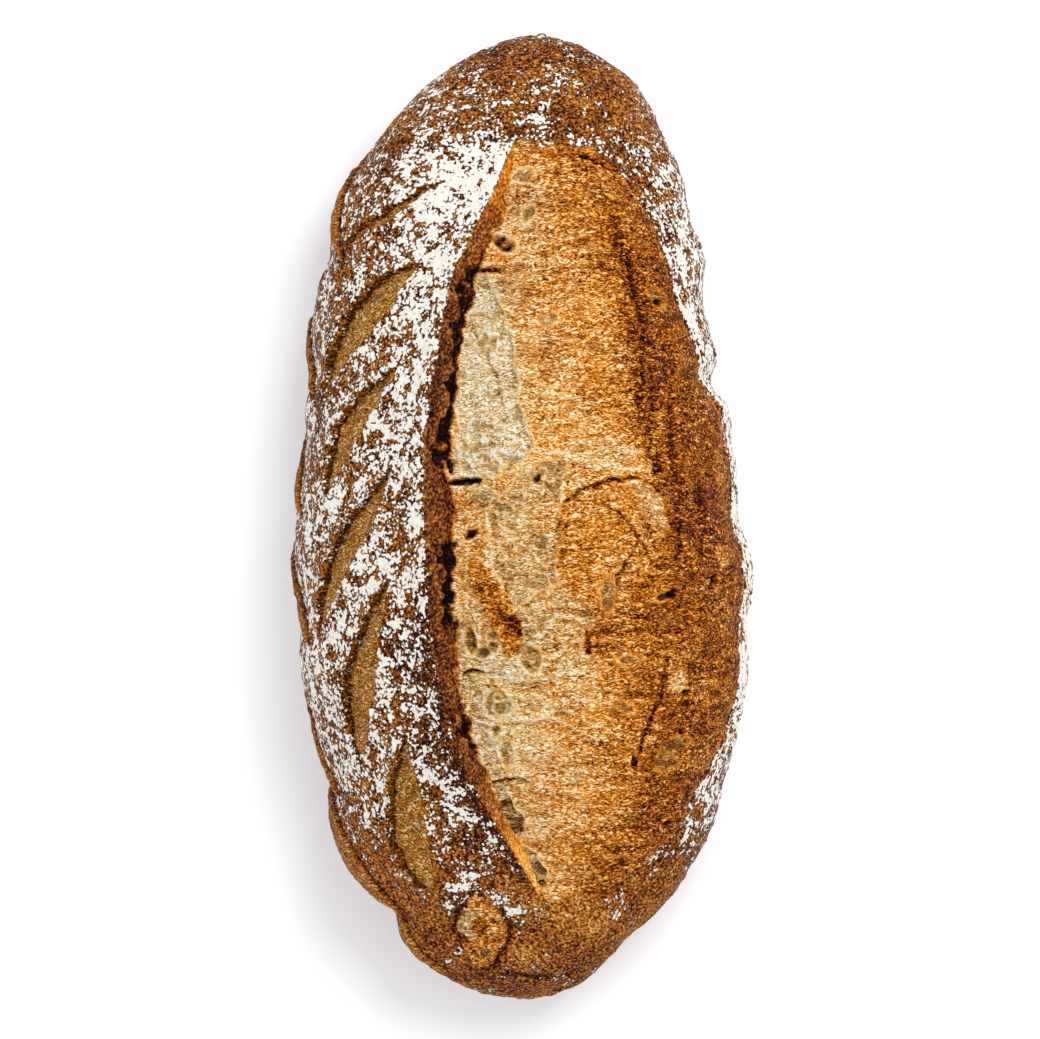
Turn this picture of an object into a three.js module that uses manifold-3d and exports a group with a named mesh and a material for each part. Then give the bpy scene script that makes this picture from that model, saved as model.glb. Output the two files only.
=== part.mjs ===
// A scored sourdough batard: one baked piece, so one closed solid.
//
// Frame, in millimetres: +Y runs along the loaf, +X across it and +Z up. The origin lies on the
// surface that the loaf rests on, under the middle of its box.
//
// The crust is a ring of points swept from one tip to the other. A ring starts at the loaf's widest
// line on its left side (angle 0), climbs the left flank, rolls over the raised lip of the long cut,
// crosses the bloom that opened beside it, goes down the right flank (angle PI) and returns along the
// flat underside. Leaf-shaped scores are then cut into the left flank.

import * as THREE from "three";
import { mergeVertices } from "three/addons/utils/BufferGeometryUtils.js";
import Module from "manifold-3d";

// ---- Driving dimensions ----

const LENGTH = 300;
const CROWN_HEIGHT = 84; // of the skin, before the lip and the bloom rise above it
const WIDEST_HEIGHT = 27; // where the sides stand out furthest
const TIP_HEIGHT = 24;
const BASE_SINK = 3.4; // the round underside is pressed flat where it would reach this far below 0

const SECTION_FULLNESS = 2.2; // superellipse exponent of the upper half of a section: 2 is an ellipse
const BASE_FULLNESS = 2.9; // of the lower half, which turns under more sharply
const CROWN_TAPER = 1.12; // how fast the crown falls towards the tips
const BASE_TAPER = 3.4; // how late the underside lifts towards the tips

// The loaf's axis leans to the right towards its far tip, and it is fuller at its near end.
const AXIS_MIDDLE = 2.5;
const AXIS_LEAN = 2.5; // at each tip, either way
// Half widths that the outline's ellipse is scaled by, from the near tip to the far one: [y, left, right].
const HALF_WIDTHS = [
  [-150, 80, 64],
  [-120, 81, 73],
  [-85, 73, 74.5],
  [-55, 73, 71.5],
  [-15, 73.5, 67.3],
  [35, 70.5, 60.5],
  [75, 75, 61],
  [105, 80, 64],
  [130, 76, 68],
  [150, 70, 64],
];

// The long cut: the x of its lip and of the bloom's far rim, from its near end to its far end.
const LIP_LINE = [
  [-118, 7],
  [-100, -3],
  [-80, -14],
  [-50, -23],
  [-5, -27.5],
  [30, -26.7],
  [50, -23.8],
  [70, -20.2],
  [85, -14.2],
  [97, -8.6],
  [107, -5],
  [122, 2],
];
const RIM_LINE = [
  [-124, 9],
  [-112, 30],
  [-95, 48],
  [-71, 60.3],
  [-56, 64.2],
  [-38, 66.4],
  [-20, 67],
  [3, 65.2],
  [30, 59.9],
  [45, 54.8],
  [65, 48.5],
  [85, 41.5],
  [95, 37],
  [104, 30.5],
  [112, 22],
  [122, 8],
];
const CUT_NEAR_END = -121;
const CUT_FAR_END = 118;
const CUT_FADE = 26; // over which the lip and the bloom rise from either end
const BLOOM_RISE = 3.2; // at the bloom's middle, above the skin's own curve
const RIM_DIP = 1.4; // of the crease along the rim
const RIM_SHARPNESS = 6; // how close to the rim that crease keeps
const BLOOM_MIN_TURN = 0.5; // radians that the bloom always spans, which keeps it open at its ends

// The lip's own section, across and up from the skin under it: it swells to its crest, falls steeply
// down its dark inner face into the groove, and runs out on the bloom.
const LIP_SECTION = [
  [-18, 0],
  [-10, 0.8],
  [-5, 2.3],
  [-2, 3.7],
  [-0.5, 4.4],
  [0.5, 4.2],
  [1.4, 3.2],
  [2.6, 1.2],
  [3.8, -1],
  [4.8, -2.6],
  [6, -3.2],
  [8.5, -3],
  [14, -1.5],
  [24, 0],
];
const LIP_SPREAD = 3.2; // makes a millimetre across that section a millimetre on the skin

// The leaf scores. Each runs from a head to a foot: [degrees up the flank from its widest line, y],
// with its greatest width.
const UPPER_SCORES = [
  { head: [50, 108], foot: [20, 86], width: 3.4 },
  { head: [56, 78], foot: [21, 43], width: 8 },
  { head: [59, 47], foot: [20, 14], width: 7.5 },
  { head: [60, 10], foot: [15, -36], width: 8 },
  { head: [57, -20], foot: [35, -72], width: 9 },
  { head: [54, -70], foot: [50, -110], width: 10 },
];
const LOWER_SCORES = [
  { head: [-8, 117], foot: [26, 78], width: 8 },
  { head: [-20, 74], foot: [17, 36], width: 8 },
  { head: [-20, 34], foot: [14, 0], width: 8 },
  { head: [-18, 0], foot: [20, -40], width: 8 },
  { head: [-18, -42], foot: [17, -88], width: 9 },
  { head: [-4, -82], foot: [38, -123], width: 12 },
];
const SCORE_DEPTH = 2.3; // at the edge that the blade slid under
const SCORE_SHALLOW = 0.5; // at the other edge
const SCORE_CLEAR = 4; // how far a cutter stands out of the crust
const SCORE_TIP_WIDTH = 0.5;
const SCORE_BLUNT = 0.1; // the share of a score at either end that is left off, so it has some depth there
const SCORE_STEPS = 9; // faces along a cutter
const SCORE_SPANS = 3; // faces across it

// How many faces each stretch of a ring has, and how many rings there are.
const FLANK_STEPS = 9;
const LIP_STEPS = 18;
const BLOOM_STEPS = 12;
const RIGHT_STEPS = 5;
const UNDER_STEPS = 14;
const RINGS = 54;

const SMALLEST = 1; // mm, a floor under sizes that are divided by, which shrink to nothing at the tips
const WIDEST_SHARE = 0.985; // of a half width: how close to the widest line a line on the crust may come
const LINE_SAMPLES = 24; // places read off a smooth line for each of its points
const WELD = 1e-4; // mm, within which corners are one

// ---- Profiles ----

// A smooth line through rows of [y, value, ...]: the value in the given column at a place y.
function profile(rows, column = 1) {
  const points = rows.map((row) => new THREE.Vector2(row[0], row[column]));
  const curve = new THREE.SplineCurve(points);
  const samples = curve.getPoints(rows.length * LINE_SAMPLES);
  return (y) => {
    const after = samples.findIndex((sample) => sample.x >= y);
    if (after === 0) return samples[0].y;
    if (after < 0) return samples[samples.length - 1].y;
    const [low, high] = [samples[after - 1], samples[after]];
    return THREE.MathUtils.mapLinear(y, low.x, high.x, low.y, high.y);
  };
}

const leftHalfWidth = profile(HALF_WIDTHS, 1);
const rightHalfWidth = profile(HALF_WIDTHS, 2);
const lipX = profile(LIP_LINE);
const rimX = profile(RIM_LINE);

// How fully the cut is open at y: 1 along its middle, 0 beyond its ends.
function openness(y) {
  const near = THREE.MathUtils.smoothstep(y, CUT_NEAR_END, CUT_NEAR_END + CUT_FADE);
  const far = THREE.MathUtils.smoothstep(-y, -CUT_FAR_END, -CUT_FAR_END + CUT_FADE);
  return near * far;
}

// ---- The skin, before it is cut ----

// The section at y: its middle, its half widths, and the heights of its crown, widest line and base.
function sectionAt(y) {
  const along = THREE.MathUtils.clamp(y / (LENGTH / 2), -1, 1);
  const round = Math.sqrt(1 - along * along);
  const widest = THREE.MathUtils.lerp(TIP_HEIGHT, WIDEST_HEIGHT, round);
  const lift = Math.pow(1 - Math.pow(Math.abs(along), BASE_TAPER), 1 / BASE_TAPER);
  return {
    round,
    middle: AXIS_MIDDLE + AXIS_LEAN * along,
    left: leftHalfWidth(y) * round,
    right: rightHalfWidth(y) * round,
    widest,
    crown: (CROWN_HEIGHT - WIDEST_HEIGHT) * Math.pow(round, CROWN_TAPER),
    base: (widest + BASE_SINK) * lift,
  };
}

// A cosine or sine raised for a superellipse, keeping its sign.
function shaped(value, fullness) {
  return Math.sign(value) * Math.pow(Math.abs(value), 2 / fullness);
}

// The point of the uncut skin at an angle round the section at y, and the outward normal there.
function skinAt(angle, y) {
  const section = sectionAt(y);
  const upper = Math.sin(angle) >= 0;
  const half = Math.cos(angle) > 0 ? section.left : section.right;
  const rise = upper ? section.crown : section.base;
  const fullness = upper ? SECTION_FULLNESS : BASE_FULLNESS;
  const across = -shaped(Math.cos(angle), fullness);
  const up = shaped(Math.sin(angle), fullness);
  const x = section.middle + half * across;
  const z = section.widest + rise * up;
  // The gradient of the superellipse points out of it.
  const normal = new THREE.Vector2(
    (Math.sign(across) * Math.pow(Math.abs(across), fullness - 1)) / Math.max(half, SMALLEST),
    (Math.sign(up) * Math.pow(Math.abs(up), fullness - 1)) / Math.max(rise, SMALLEST),
  ).normalize();
  return { x, z, normal };
}

// The angle at which the skin of the upper half stands at x.
function angleOfX(x, y) {
  const section = sectionAt(y);
  const half = x < section.middle ? section.left : section.right;
  const share = (x - section.middle) / Math.max(half, SMALLEST);
  const across = THREE.MathUtils.clamp(share, -WIDEST_SHARE, WIDEST_SHARE);
  return Math.acos(-Math.sign(across) * Math.pow(Math.abs(across), SECTION_FULLNESS / 2));
}

// ---- One ring of the crust ----

const lipCurve = new THREE.SplineCurve(LIP_SECTION.map(([across, up]) => new THREE.Vector2(across, up)));

// All the points of the ring at y, starting and ending on the widest line of the left side.
function ringAt(y) {
  const section = sectionAt(y);
  const open = openness(y);
  // The lip is narrower near the tips, where a ring is small.
  const size = section.left + section.right + section.crown + SMALLEST;
  const turnPerMm = (LIP_SPREAD / size) * section.round;
  const lipAngle = angleOfX(lipX(y), y);
  const rimAngle = Math.max(angleOfX(rimX(y), y), lipAngle + BLOOM_MIN_TURN);
  const [lipStart] = LIP_SECTION[0];
  const [lipEnd] = LIP_SECTION[LIP_SECTION.length - 1];
  const angleAcross = (across) => lipAngle + across * turnPerMm;
  const bloomStart = angleAcross(lipEnd);

  const ring = [];
  const add = (angle, out) => {
    const { x, z, normal } = skinAt(angle, y);
    ring.push([x + normal.x * out, z + normal.y * out]);
  };

  for (let i = 0; i < FLANK_STEPS; i++) {
    add((angleAcross(lipStart) * i) / FLANK_STEPS, 0);
  }
  for (let i = 0; i < LIP_STEPS; i++) {
    const along = i / LIP_STEPS;
    const rolled = lipCurve.getPointAt(along);
    const flat = THREE.MathUtils.lerp(lipStart, lipEnd, along);
    add(angleAcross(THREE.MathUtils.lerp(flat, rolled.x, open)), rolled.y * open);
  }
  for (let i = 0; i < BLOOM_STEPS; i++) {
    const share = i / BLOOM_STEPS;
    const swell = BLOOM_RISE * Math.sin(Math.PI * share) - RIM_DIP * Math.pow(share, RIM_SHARPNESS);
    add(THREE.MathUtils.lerp(bloomStart, rimAngle, share), swell * open);
  }
  for (let i = 0; i < RIGHT_STEPS; i++) {
    add(THREE.MathUtils.lerp(rimAngle, Math.PI, i / RIGHT_STEPS), 0);
  }
  for (let i = 0; i <= UNDER_STEPS; i++) {
    add(Math.PI * (1 + i / UNDER_STEPS), 0);
  }
  return ring.map(([x, z]) => [x, Math.max(z, 0)]);
}

// ---- The crust ----

const COLUMNS = FLANK_STEPS + LIP_STEPS + BLOOM_STEPS + RIGHT_STEPS + UNDER_STEPS;

// A sphere with its poles on the Y axis has the loaf's layout, so each of its rings becomes one of the
// loaf's, and its poles become the tips.
function crustGeometry() {
  const geometry = new THREE.SphereGeometry(1, COLUMNS, RINGS);
  const position = geometry.getAttribute("position");
  for (let row = 0; row <= RINGS; row++) {
    const y = (LENGTH / 2) * Math.cos((Math.PI * row) / RINGS);
    const ring = ringAt(y);
    for (let column = 0; column <= COLUMNS; column++) {
      const isTip = row === 0 || row === RINGS;
      const [x, z] = isTip ? [sectionAt(y).middle, TIP_HEIGHT] : ring[column];
      position.setXYZ(row * (COLUMNS + 1) + column, x, y, z);
    }
  }
  return geometry;
}

// ---- The leaf scores ----

// A closed patch that follows the skin, leaf-shaped from head to foot. Its outer face stands clear of
// the crust and its inner face slopes down into it, as a blade held flat leaves it.
function scoreGeometry({ head, foot, width }) {
  const geometry = new THREE.BoxGeometry(1, 1, 1, SCORE_SPANS, SCORE_STEPS, 1);
  const position = geometry.getAttribute("position");
  for (let i = 0; i < position.count; i++) {
    const along = 0.5 - position.getY(i);
    const side = position.getX(i); // -0.5 on the edge nearer the table, 0.5 on the one nearer the lip
    const y = THREE.MathUtils.lerp(head[1], foot[1], along);
    const degrees = THREE.MathUtils.lerp(head[0], foot[0], along);
    const leaf = SCORE_TIP_WIDTH + (width - SCORE_TIP_WIDTH) * Math.sin(Math.PI * along);
    const section = sectionAt(y);
    const radius = (section.left + section.crown) / 2;
    const angle = THREE.MathUtils.degToRad(degrees) + (side * leaf) / radius;
    const depth = THREE.MathUtils.mapLinear(side, -0.5, 0.5, SCORE_DEPTH, SCORE_SHALLOW);
    const swelling = Math.sin(Math.PI * THREE.MathUtils.lerp(SCORE_BLUNT, 1 - SCORE_BLUNT, along));
    const out = position.getZ(i) > 0 ? SCORE_CLEAR : -depth * swelling;
    const { x, z, normal } = skinAt(angle, y);
    position.setXYZ(i, x + normal.x * out, y, z + normal.y * out);
  }
  return geometry;
}

// ---- Cutting ----

const wasm = await Module();
wasm.setup();

function solidOf(geometry) {
  geometry.deleteAttribute("normal");
  geometry.deleteAttribute("uv");
  const merged = mergeVertices(geometry, WELD);
  const mesh = new wasm.Mesh({
    numProp: 3,
    vertProperties: merged.getAttribute("position").array,
    triVerts: new Uint32Array(merged.index.array),
  });
  return new wasm.Manifold(mesh);
}

function geometryOf(solid) {
  const mesh = solid.getMesh();
  const geometry = new THREE.BufferGeometry();
  geometry.setAttribute("position", new THREE.BufferAttribute(mesh.vertProperties, 3));
  geometry.setIndex(new THREE.BufferAttribute(mesh.triVerts, 1));
  return geometry;
}

let crust = solidOf(crustGeometry());
for (const score of [...UPPER_SCORES, ...LOWER_SCORES]) {
  crust = crust.subtract(solidOf(scoreGeometry(score)));
}

// ---- The loaf ----

const geometry = geometryOf(crust);
geometry.computeBoundingBox();
const middle = geometry.boundingBox.getCenter(new THREE.Vector3());
geometry.translate(-middle.x, -middle.y, 0);

const bakedCrust = new THREE.MeshStandardMaterial({ color: 0xb0703a, roughness: 0.8, metalness: 0 });
const loafMesh = new THREE.Mesh(geometry, bakedCrust);
loafMesh.name = "loaf";

const loaf = new THREE.Group();
loaf.add(loafMesh);

export default loaf;
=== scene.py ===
# %% [markdown]
# # A scored sourdough loaf
#
# A hearth loaf is one lump of dough, baked in one piece, so this lesson makes one mesh. Everything that
# the eye reads as a part of it (the floured skin, the dark lip, the golden bloom, the leaf-shaped
# scores) is a stretch of that one crust. The CAD model gives the size and the place, and the lesson
# adds the crust.
#
# First the frame is loaded. All the lesson's own lengths are in millimetres, because that is how a baker
# measures a score or a blister, and they turn to metres once, when the mesh is made.

# %% Load the frame
import functools
import itertools
import math

import bpy
import numpy as np
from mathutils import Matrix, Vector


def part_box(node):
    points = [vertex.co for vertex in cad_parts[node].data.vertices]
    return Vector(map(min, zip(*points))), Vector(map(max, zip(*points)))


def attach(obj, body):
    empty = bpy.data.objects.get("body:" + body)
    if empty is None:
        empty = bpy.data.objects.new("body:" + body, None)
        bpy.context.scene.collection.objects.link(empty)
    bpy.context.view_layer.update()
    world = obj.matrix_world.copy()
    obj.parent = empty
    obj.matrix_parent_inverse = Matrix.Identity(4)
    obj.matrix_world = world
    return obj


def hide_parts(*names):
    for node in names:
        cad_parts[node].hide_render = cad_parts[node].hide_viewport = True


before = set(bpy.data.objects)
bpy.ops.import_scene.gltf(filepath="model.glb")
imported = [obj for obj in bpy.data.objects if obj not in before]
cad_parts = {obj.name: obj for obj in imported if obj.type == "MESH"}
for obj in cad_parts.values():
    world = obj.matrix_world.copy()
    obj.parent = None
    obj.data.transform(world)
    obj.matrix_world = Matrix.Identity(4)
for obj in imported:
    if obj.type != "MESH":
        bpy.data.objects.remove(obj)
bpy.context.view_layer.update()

MM = 0.001
loaf_low, loaf_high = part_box("loaf")
LENGTH = (loaf_high.y - loaf_low.y) / MM
WIDTH = (loaf_high.x - loaf_low.x) / MM
HEIGHT = (loaf_high.z - loaf_low.z) / MM
print(f"the loaf is {LENGTH:.0f} mm long, {WIDTH:.0f} mm wide and {HEIGHT:.0f} mm high")

# %% [markdown]
# ## The camera
#
# Bread is often shown from straight above, because the scoring is on its top. A long lens far away keeps
# the sides from bulging. The lens follows from how much of the table it should take in.

# %% Place the camera
CAMERA_HEIGHT = 1600
WIDEST_HEIGHT = 27  # of the line where the loaf's sides stand out furthest
FRAMED = 1.08 * LENGTH  # what the picture takes in, at that height
SENSOR = 36
CAMERA_X, CAMERA_Y = -0.5, -0.9  # a little off the loaf's middle, to frame it

camera_data = bpy.data.cameras.new("overhead_camera")
camera_data.sensor_width = SENSOR
camera_data.lens = SENSOR * (CAMERA_HEIGHT - WIDEST_HEIGHT) / FRAMED
camera = bpy.data.objects.new("overhead_camera", camera_data)
camera.location = (CAMERA_X * MM, CAMERA_Y * MM, CAMERA_HEIGHT * MM)
bpy.context.scene.collection.objects.link(camera)
bpy.context.scene.camera = camera
print(f"the lens is {camera_data.lens:.0f} mm")

# %% [markdown]
# ## Colours
#
# Colours are written as the sRGB hex values that a colour picker shows. Blender's shaders work with
# linear light, so one function turns the first into the second. The standard view keeps a hex value what
# it says, where the filmic ones would wash it out.

# %% Hex to linear
bpy.context.scene.view_settings.view_transform = "Standard"


def linear(hex_colour):
    """The linear colour, with an alpha of 1, for an sRGB one such as "b5651d"."""
    channels = [int(hex_colour[i : i + 2], 16) / 255 for i in (0, 2, 4)]
    return [c / 12.92 if c <= 0.04045 else ((c + 0.055) / 1.055) ** 2.4 for c in channels] + [1.0]

# %% [markdown]
# ## Nodes
#
# Every material here is a tree of nodes. One small function adds a node, sets what it is told to, links
# or fills its inputs, and hands back its first usable output, so that trees read like sums.

# %% Add a node
def add_node(tree, kind, feeds=None, output=0, stops=(), **settings):
    """Adds a node. feeds maps an input's name or number to a value or to another node's output."""
    made = tree.nodes.new("ShaderNode" + kind)
    for name, value in settings.items():
        setattr(made, name, value)
    for i, (place, colour) in enumerate(stops):
        elements = made.color_ramp.elements
        stop = elements[i] if i < 2 else elements.new(place)
        stop.position = place
        stop.color = linear(colour)
    open_inputs = [socket for socket in made.inputs if socket.enabled]
    for key, value in (feeds or {}).items():
        named = [socket for socket in open_inputs if socket.name == key]
        socket = open_inputs[key] if isinstance(key, int) else named[0]
        if isinstance(value, bpy.types.NodeSocket):
            tree.links.new(value, socket)
        else:
            socket.default_value = value
    open_outputs = [socket for socket in made.outputs if socket.enabled]
    return made.outputs[output] if isinstance(output, str) else open_outputs[output]

# %% [markdown]
# ## Studio light
#
# The light is plain and soft: a bright sky all round, a softbox high at the far right that gives the
# folds a lit side, and a weak one low at the near left. A sky alone would flatten the wrinkles, and a
# bare lamp would make their shadows too hard.

# %% Light the table
SKY_STRENGTH = 0.78
KEY_POWER = 13.5
FILL_POWER = 2
KEY_PLACE, KEY_SIZE = (0.55, 0.75, 1.5), 0.7  # metres
FILL_PLACE, FILL_SIZE = (-1.2, -0.9, 1.1), 1.2

world = bpy.data.worlds.new("studio_sky")
world.use_nodes = True
sky = world.node_tree.nodes["Background"]
sky.inputs["Color"].default_value = linear("fbfbfd")
sky.inputs["Strength"].default_value = SKY_STRENGTH
bpy.context.scene.world = world


def softbox(name, place, size, power):
    """A square lamp at a place in metres, facing the loaf."""
    lamp = bpy.data.lights.new(name, "AREA")
    lamp.size = size
    lamp.energy = power
    holder = bpy.data.objects.new(name, lamp)
    holder.location = place
    away = holder.location.copy()
    holder.rotation_euler = away.to_track_quat("Z", "Y").to_euler()
    bpy.context.scene.collection.objects.link(holder)
    print(f"{name} stands {away.length:.1f} m away")


softbox("key_softbox", KEY_PLACE, KEY_SIZE, KEY_POWER)
softbox("fill_softbox", FILL_PLACE, FILL_SIZE, FILL_POWER)

# %% [markdown]
# ## The table
#
# The loaf lies on a wide sheet of matte white acrylic, lit softly from below as food studios do it, so
# that the shadow stays pale. To the eye it is an even white with no mirror image of the loaf, so it is
# rough and hardly glossy, with an index of refraction near 1.5 like most clear plastics. It belongs to
# the studio, not to the loaf.

# %% Lay the sheet
ACRYLIC_IOR, ACRYLIC_ROUGHNESS, ACRYLIC_SPECULAR = 1.5, 0.9, 0.2
TABLE_GLOW = 0.18  # what the light from below adds
FLOOR_HALF = 4.0  # metres

floor_mesh = bpy.data.meshes.new("floor")
signs = ((-1, -1), (1, -1), (1, 1), (-1, 1))
corners = [(x * FLOOR_HALF, y * FLOOR_HALF, 0) for x, y in signs]
floor_mesh.from_pydata(corners, [], [(0, 1, 2, 3)])
floor = bpy.data.objects.new("floor", floor_mesh)
bpy.context.scene.collection.objects.link(floor)
acrylic = bpy.data.materials.new("matte_white_acrylic")
acrylic.use_nodes = True
acrylic_shader = acrylic.node_tree.nodes["Principled BSDF"]
acrylic_shader.inputs["Base Color"].default_value = linear("f6f6f8")
acrylic_shader.inputs["Emission Color"].default_value = linear("fafaff")
acrylic_shader.inputs["Emission Strength"].default_value = TABLE_GLOW
acrylic_shader.inputs["Roughness"].default_value = ACRYLIC_ROUGHNESS
acrylic_shader.inputs["IOR"].default_value = ACRYLIC_IOR
acrylic_shader.inputs["Specular IOR Level"].default_value = ACRYLIC_SPECULAR
floor_mesh.materials.append(acrylic)
print(f"the sheet is {2 * FLOOR_HALF:.0f} m wide")

# %% [markdown]
# ## Smooth lines and soft steps
#
# The loaf's outline and its cut are given curves. Each is a short list of points, and one function
# runs a smooth line through them. A soft step, from 0 to 1 between two values, is the other tool that
# the whole lesson leans on: it is how one kind of crust fades into the next. A ridge is its partner, for
# what is strongest at one place, such as the rim of a bubble.

# %% Lines and steps
def smooth_line(rows, column=1):
    """A smooth curve through rows of (y, value, ...), as a function of y."""
    at = np.array([row[0] for row in rows], float)
    value = np.array([row[column] for row in rows], float)
    slope = np.gradient(value, at)

    def line(y):
        y = np.clip(y, at[0], at[-1])
        i = np.clip(np.searchsorted(at, y) - 1, 0, len(at) - 2)
        span = at[i + 1] - at[i]
        t = (y - at[i]) / span
        ends = (2 * t**3 - 3 * t**2 + 1) * value[i] + (3 * t**2 - 2 * t**3) * value[i + 1]
        slopes = (t**3 - 2 * t**2 + t) * slope[i] + (t**3 - t**2) * slope[i + 1]
        return ends + slopes * span

    return line


def step(start, end, x):
    """0 before start, 1 after end, and smooth between. start may be the larger, for a falling step."""
    t = np.clip((x - start) / (end - start), 0, 1)
    return t * t * (3 - 2 * t)


def mix(a, b, share):
    return a + (b - a) * share


def ridge(x, middle, reach):
    """1 where x is at the middle, and next to nothing once it is two reaches away."""
    return np.exp(-(((x - middle) / reach) ** 2))

# %% [markdown]
# ## Chance
#
# Dough is lumpy at every size. Two kinds of repeatable chance make that: `wander`, which rolls smoothly
# between -1 and 1 with hills of one size, and `cells`, which scatters points and measures to the nearest
# ones, as bubbles crowd together in crumb. Both share a grid of cells, work on all the points at once,
# and take a seed, so they give the same loaf each time.

# %% Wandering hills and crowded cells
TABLE = 256
LAST = TABLE - 1  # keeps a number within the table, as TABLE is a power of two
HILL_HEIGHT = 1.6  # brings the hills to between -1 and 1
LAYER_STEP = 7  # between the seeds of two layers
FAR_AWAY = 9.0  # in cells, further than any spot can be


def lattice(points, size, seed):
    """The grid cell that each point is in, as three whole numbers, where it lies in it, and a shuffle."""
    parts = [np.ascontiguousarray(points[..., axis], np.float32) for axis in range(3)]
    scaled = [part / np.float32(size) for part in parts]
    cell = [np.floor(part).astype(np.int32) for part in scaled]
    inside = [part - whole for part, whole in zip(scaled, cell)]
    return cell, inside, np.random.default_rng(seed).permutation(TABLE).astype(np.int32)


def entry(cell, order, i, j, k):
    """The shuffled table's number for the grid point that is i, j and k away from each cell's own."""
    by_x = order[(cell[0] + i) & LAST]
    by_y = order[(by_x + cell[1] + j) & LAST]
    return order[(by_y + cell[2] + k) & LAST]


def wander(points, size, seed, layers=1):
    """Smooth hills and dips, about size mm apart; each further layer is half as big and half as high."""
    total = 0
    for layer in range(layers):
        chance = np.random.default_rng(seed + LAYER_STEP * layer)
        slopes = chance.normal(size=(3, TABLE)).astype(np.float32)
        slopes *= np.float32(HILL_HEIGHT / 2**layer) / np.linalg.norm(slopes, axis=0)
        cell, inside, order = lattice(points, size / 2**layer, seed + layer)
        ease = [part**3 * (part * (part * 6 - 15) + 10) for part in inside]
        for i, j, k in itertools.product((0, 1), repeat=3):
            picked = entry(cell, order, i, j, k)
            weight = (ease[0] if i else 1 - ease[0]) * (ease[1] if j else 1 - ease[1])
            weight *= ease[2] if k else 1 - ease[2]
            rise = slopes[0][picked] * (inside[0] - i) + slopes[1][picked] * (inside[1] - j)
            total = total + weight * (rise + slopes[2][picked] * (inside[2] - k))
    return total


def cells(points, size, seed):
    """The distance to the nearest scattered point, how much further the second one is, and a number of
    the nearest's own from 0 to 1. Distances are in cell sizes."""
    cell, inside, order = lattice(points, size, seed)
    spots = np.random.default_rng(seed).random((3, TABLE)).astype(np.float32)
    first = np.full(points.shape[:-1], FAR_AWAY, np.float32)
    second = first.copy()
    own = np.zeros_like(first)
    for i, j, k in itertools.product((-1, 0, 1), repeat=3):
        picked = entry(cell, order, i, j, k)
        gap = (spots[0][picked] + i - inside[0]) ** 2 + (spots[1][picked] + j - inside[1]) ** 2
        gap = np.sqrt(gap + (spots[2][picked] + k - inside[2]) ** 2)
        closer = gap < first
        second = np.where(closer, first, np.minimum(second, gap))
        own = np.where(closer, picked / np.float32(TABLE), own)
        first = np.where(closer, gap, first)
    return first, second - first, own

# %% [markdown]
# ## The plan of the loaf
#
# These are the driving dimensions of the shape, the same as the CAD model's. A cross-section is a
# superellipse, a squarer relation of the ellipse, which is how dough slumps: round above, turned under
# more sharply below. The widths say how full the loaf is along each side.

# %% The skin before it is cut
CROWN_HEIGHT = 84
TIP_HEIGHT = 24  # of the two ends of the widest line
BASE_SINK = 3.4  # how far the skin would pass below the table if it weren't pressed flat
SECTION_FULLNESS = 2.2  # 2 is an ellipse, and more is squarer
BASE_FULLNESS = 2.9
CROWN_TAPER = 1.12  # how soon the crown comes down towards the ends
BASE_TAPER = 3.4
AXIS_MIDDLE = 2.5  # where the loaf's long axis lies across, halfway along
AXIS_LEAN = 2.5  # how far the axis moves across from there to the far end
SMALLEST = 1  # mm, keeps the sums sound at the tips, where a section is a point
WIDEST_SHARE = 0.985  # of a half width, the furthest out that a line over the top may run
HALF_WIDTHS = [  # y, left, right
    (-150, 80, 64), (-120, 81, 73), (-85, 73, 74.5), (-55, 73, 71.5), (-15, 73.5, 67.3),
    (35, 70.5, 60.5), (75, 75, 61), (105, 80, 64), (130, 76, 68), (150, 70, 64),
]
left_half = smooth_line(HALF_WIDTHS, 1)
right_half = smooth_line(HALF_WIDTHS, 2)
print(f"halfway along, the loaf reaches {left_half(0):.0f} mm left and {right_half(0):.0f} mm right")


def section(y):
    """The section at y: its middle, its half widths left and right, its widest line's height, how far it
    rises above that line and falls below it, and its size as a share of the loaf's largest."""
    along = np.clip(y / (LENGTH / 2), -1, 1)
    roundness = np.sqrt(1 - along**2)
    widest = mix(TIP_HEIGHT, WIDEST_HEIGHT, roundness)
    rise = (CROWN_HEIGHT - WIDEST_HEIGHT) * roundness**CROWN_TAPER
    fall = (widest + BASE_SINK) * (1 - np.abs(along) ** BASE_TAPER) ** (1 / BASE_TAPER)
    middle = AXIS_MIDDLE + AXIS_LEAN * along
    left, right = left_half(y) * roundness, right_half(y) * roundness
    return middle, left, right, widest, rise, fall, roundness


def skin(angle, y):
    """x and z of the skin at an angle round it, and its outward direction there. Angle 0 is the widest
    line on the left, a quarter turn is the crown, half a turn the widest line on the right."""
    middle, left, right, widest, rise, fall, _ = section(y)
    up_side = np.sin(angle) >= 0
    half = np.where(np.cos(angle) > 0, left, right)
    tall = np.where(up_side, rise, fall)
    fullness = np.where(up_side, SECTION_FULLNESS, BASE_FULLNESS)
    across = -np.sign(np.cos(angle)) * np.abs(np.cos(angle)) ** (2 / fullness)
    up = np.sign(np.sin(angle)) * np.abs(np.sin(angle)) ** (2 / fullness)
    out_x = np.sign(across) * np.abs(across) ** (fullness - 1) / np.maximum(half, SMALLEST)
    out_z = np.sign(up) * np.abs(up) ** (fullness - 1) / np.maximum(tall, SMALLEST)
    size = np.hypot(out_x, out_z)
    return middle + half * across, widest + tall * up, out_x / size, out_z / size


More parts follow.
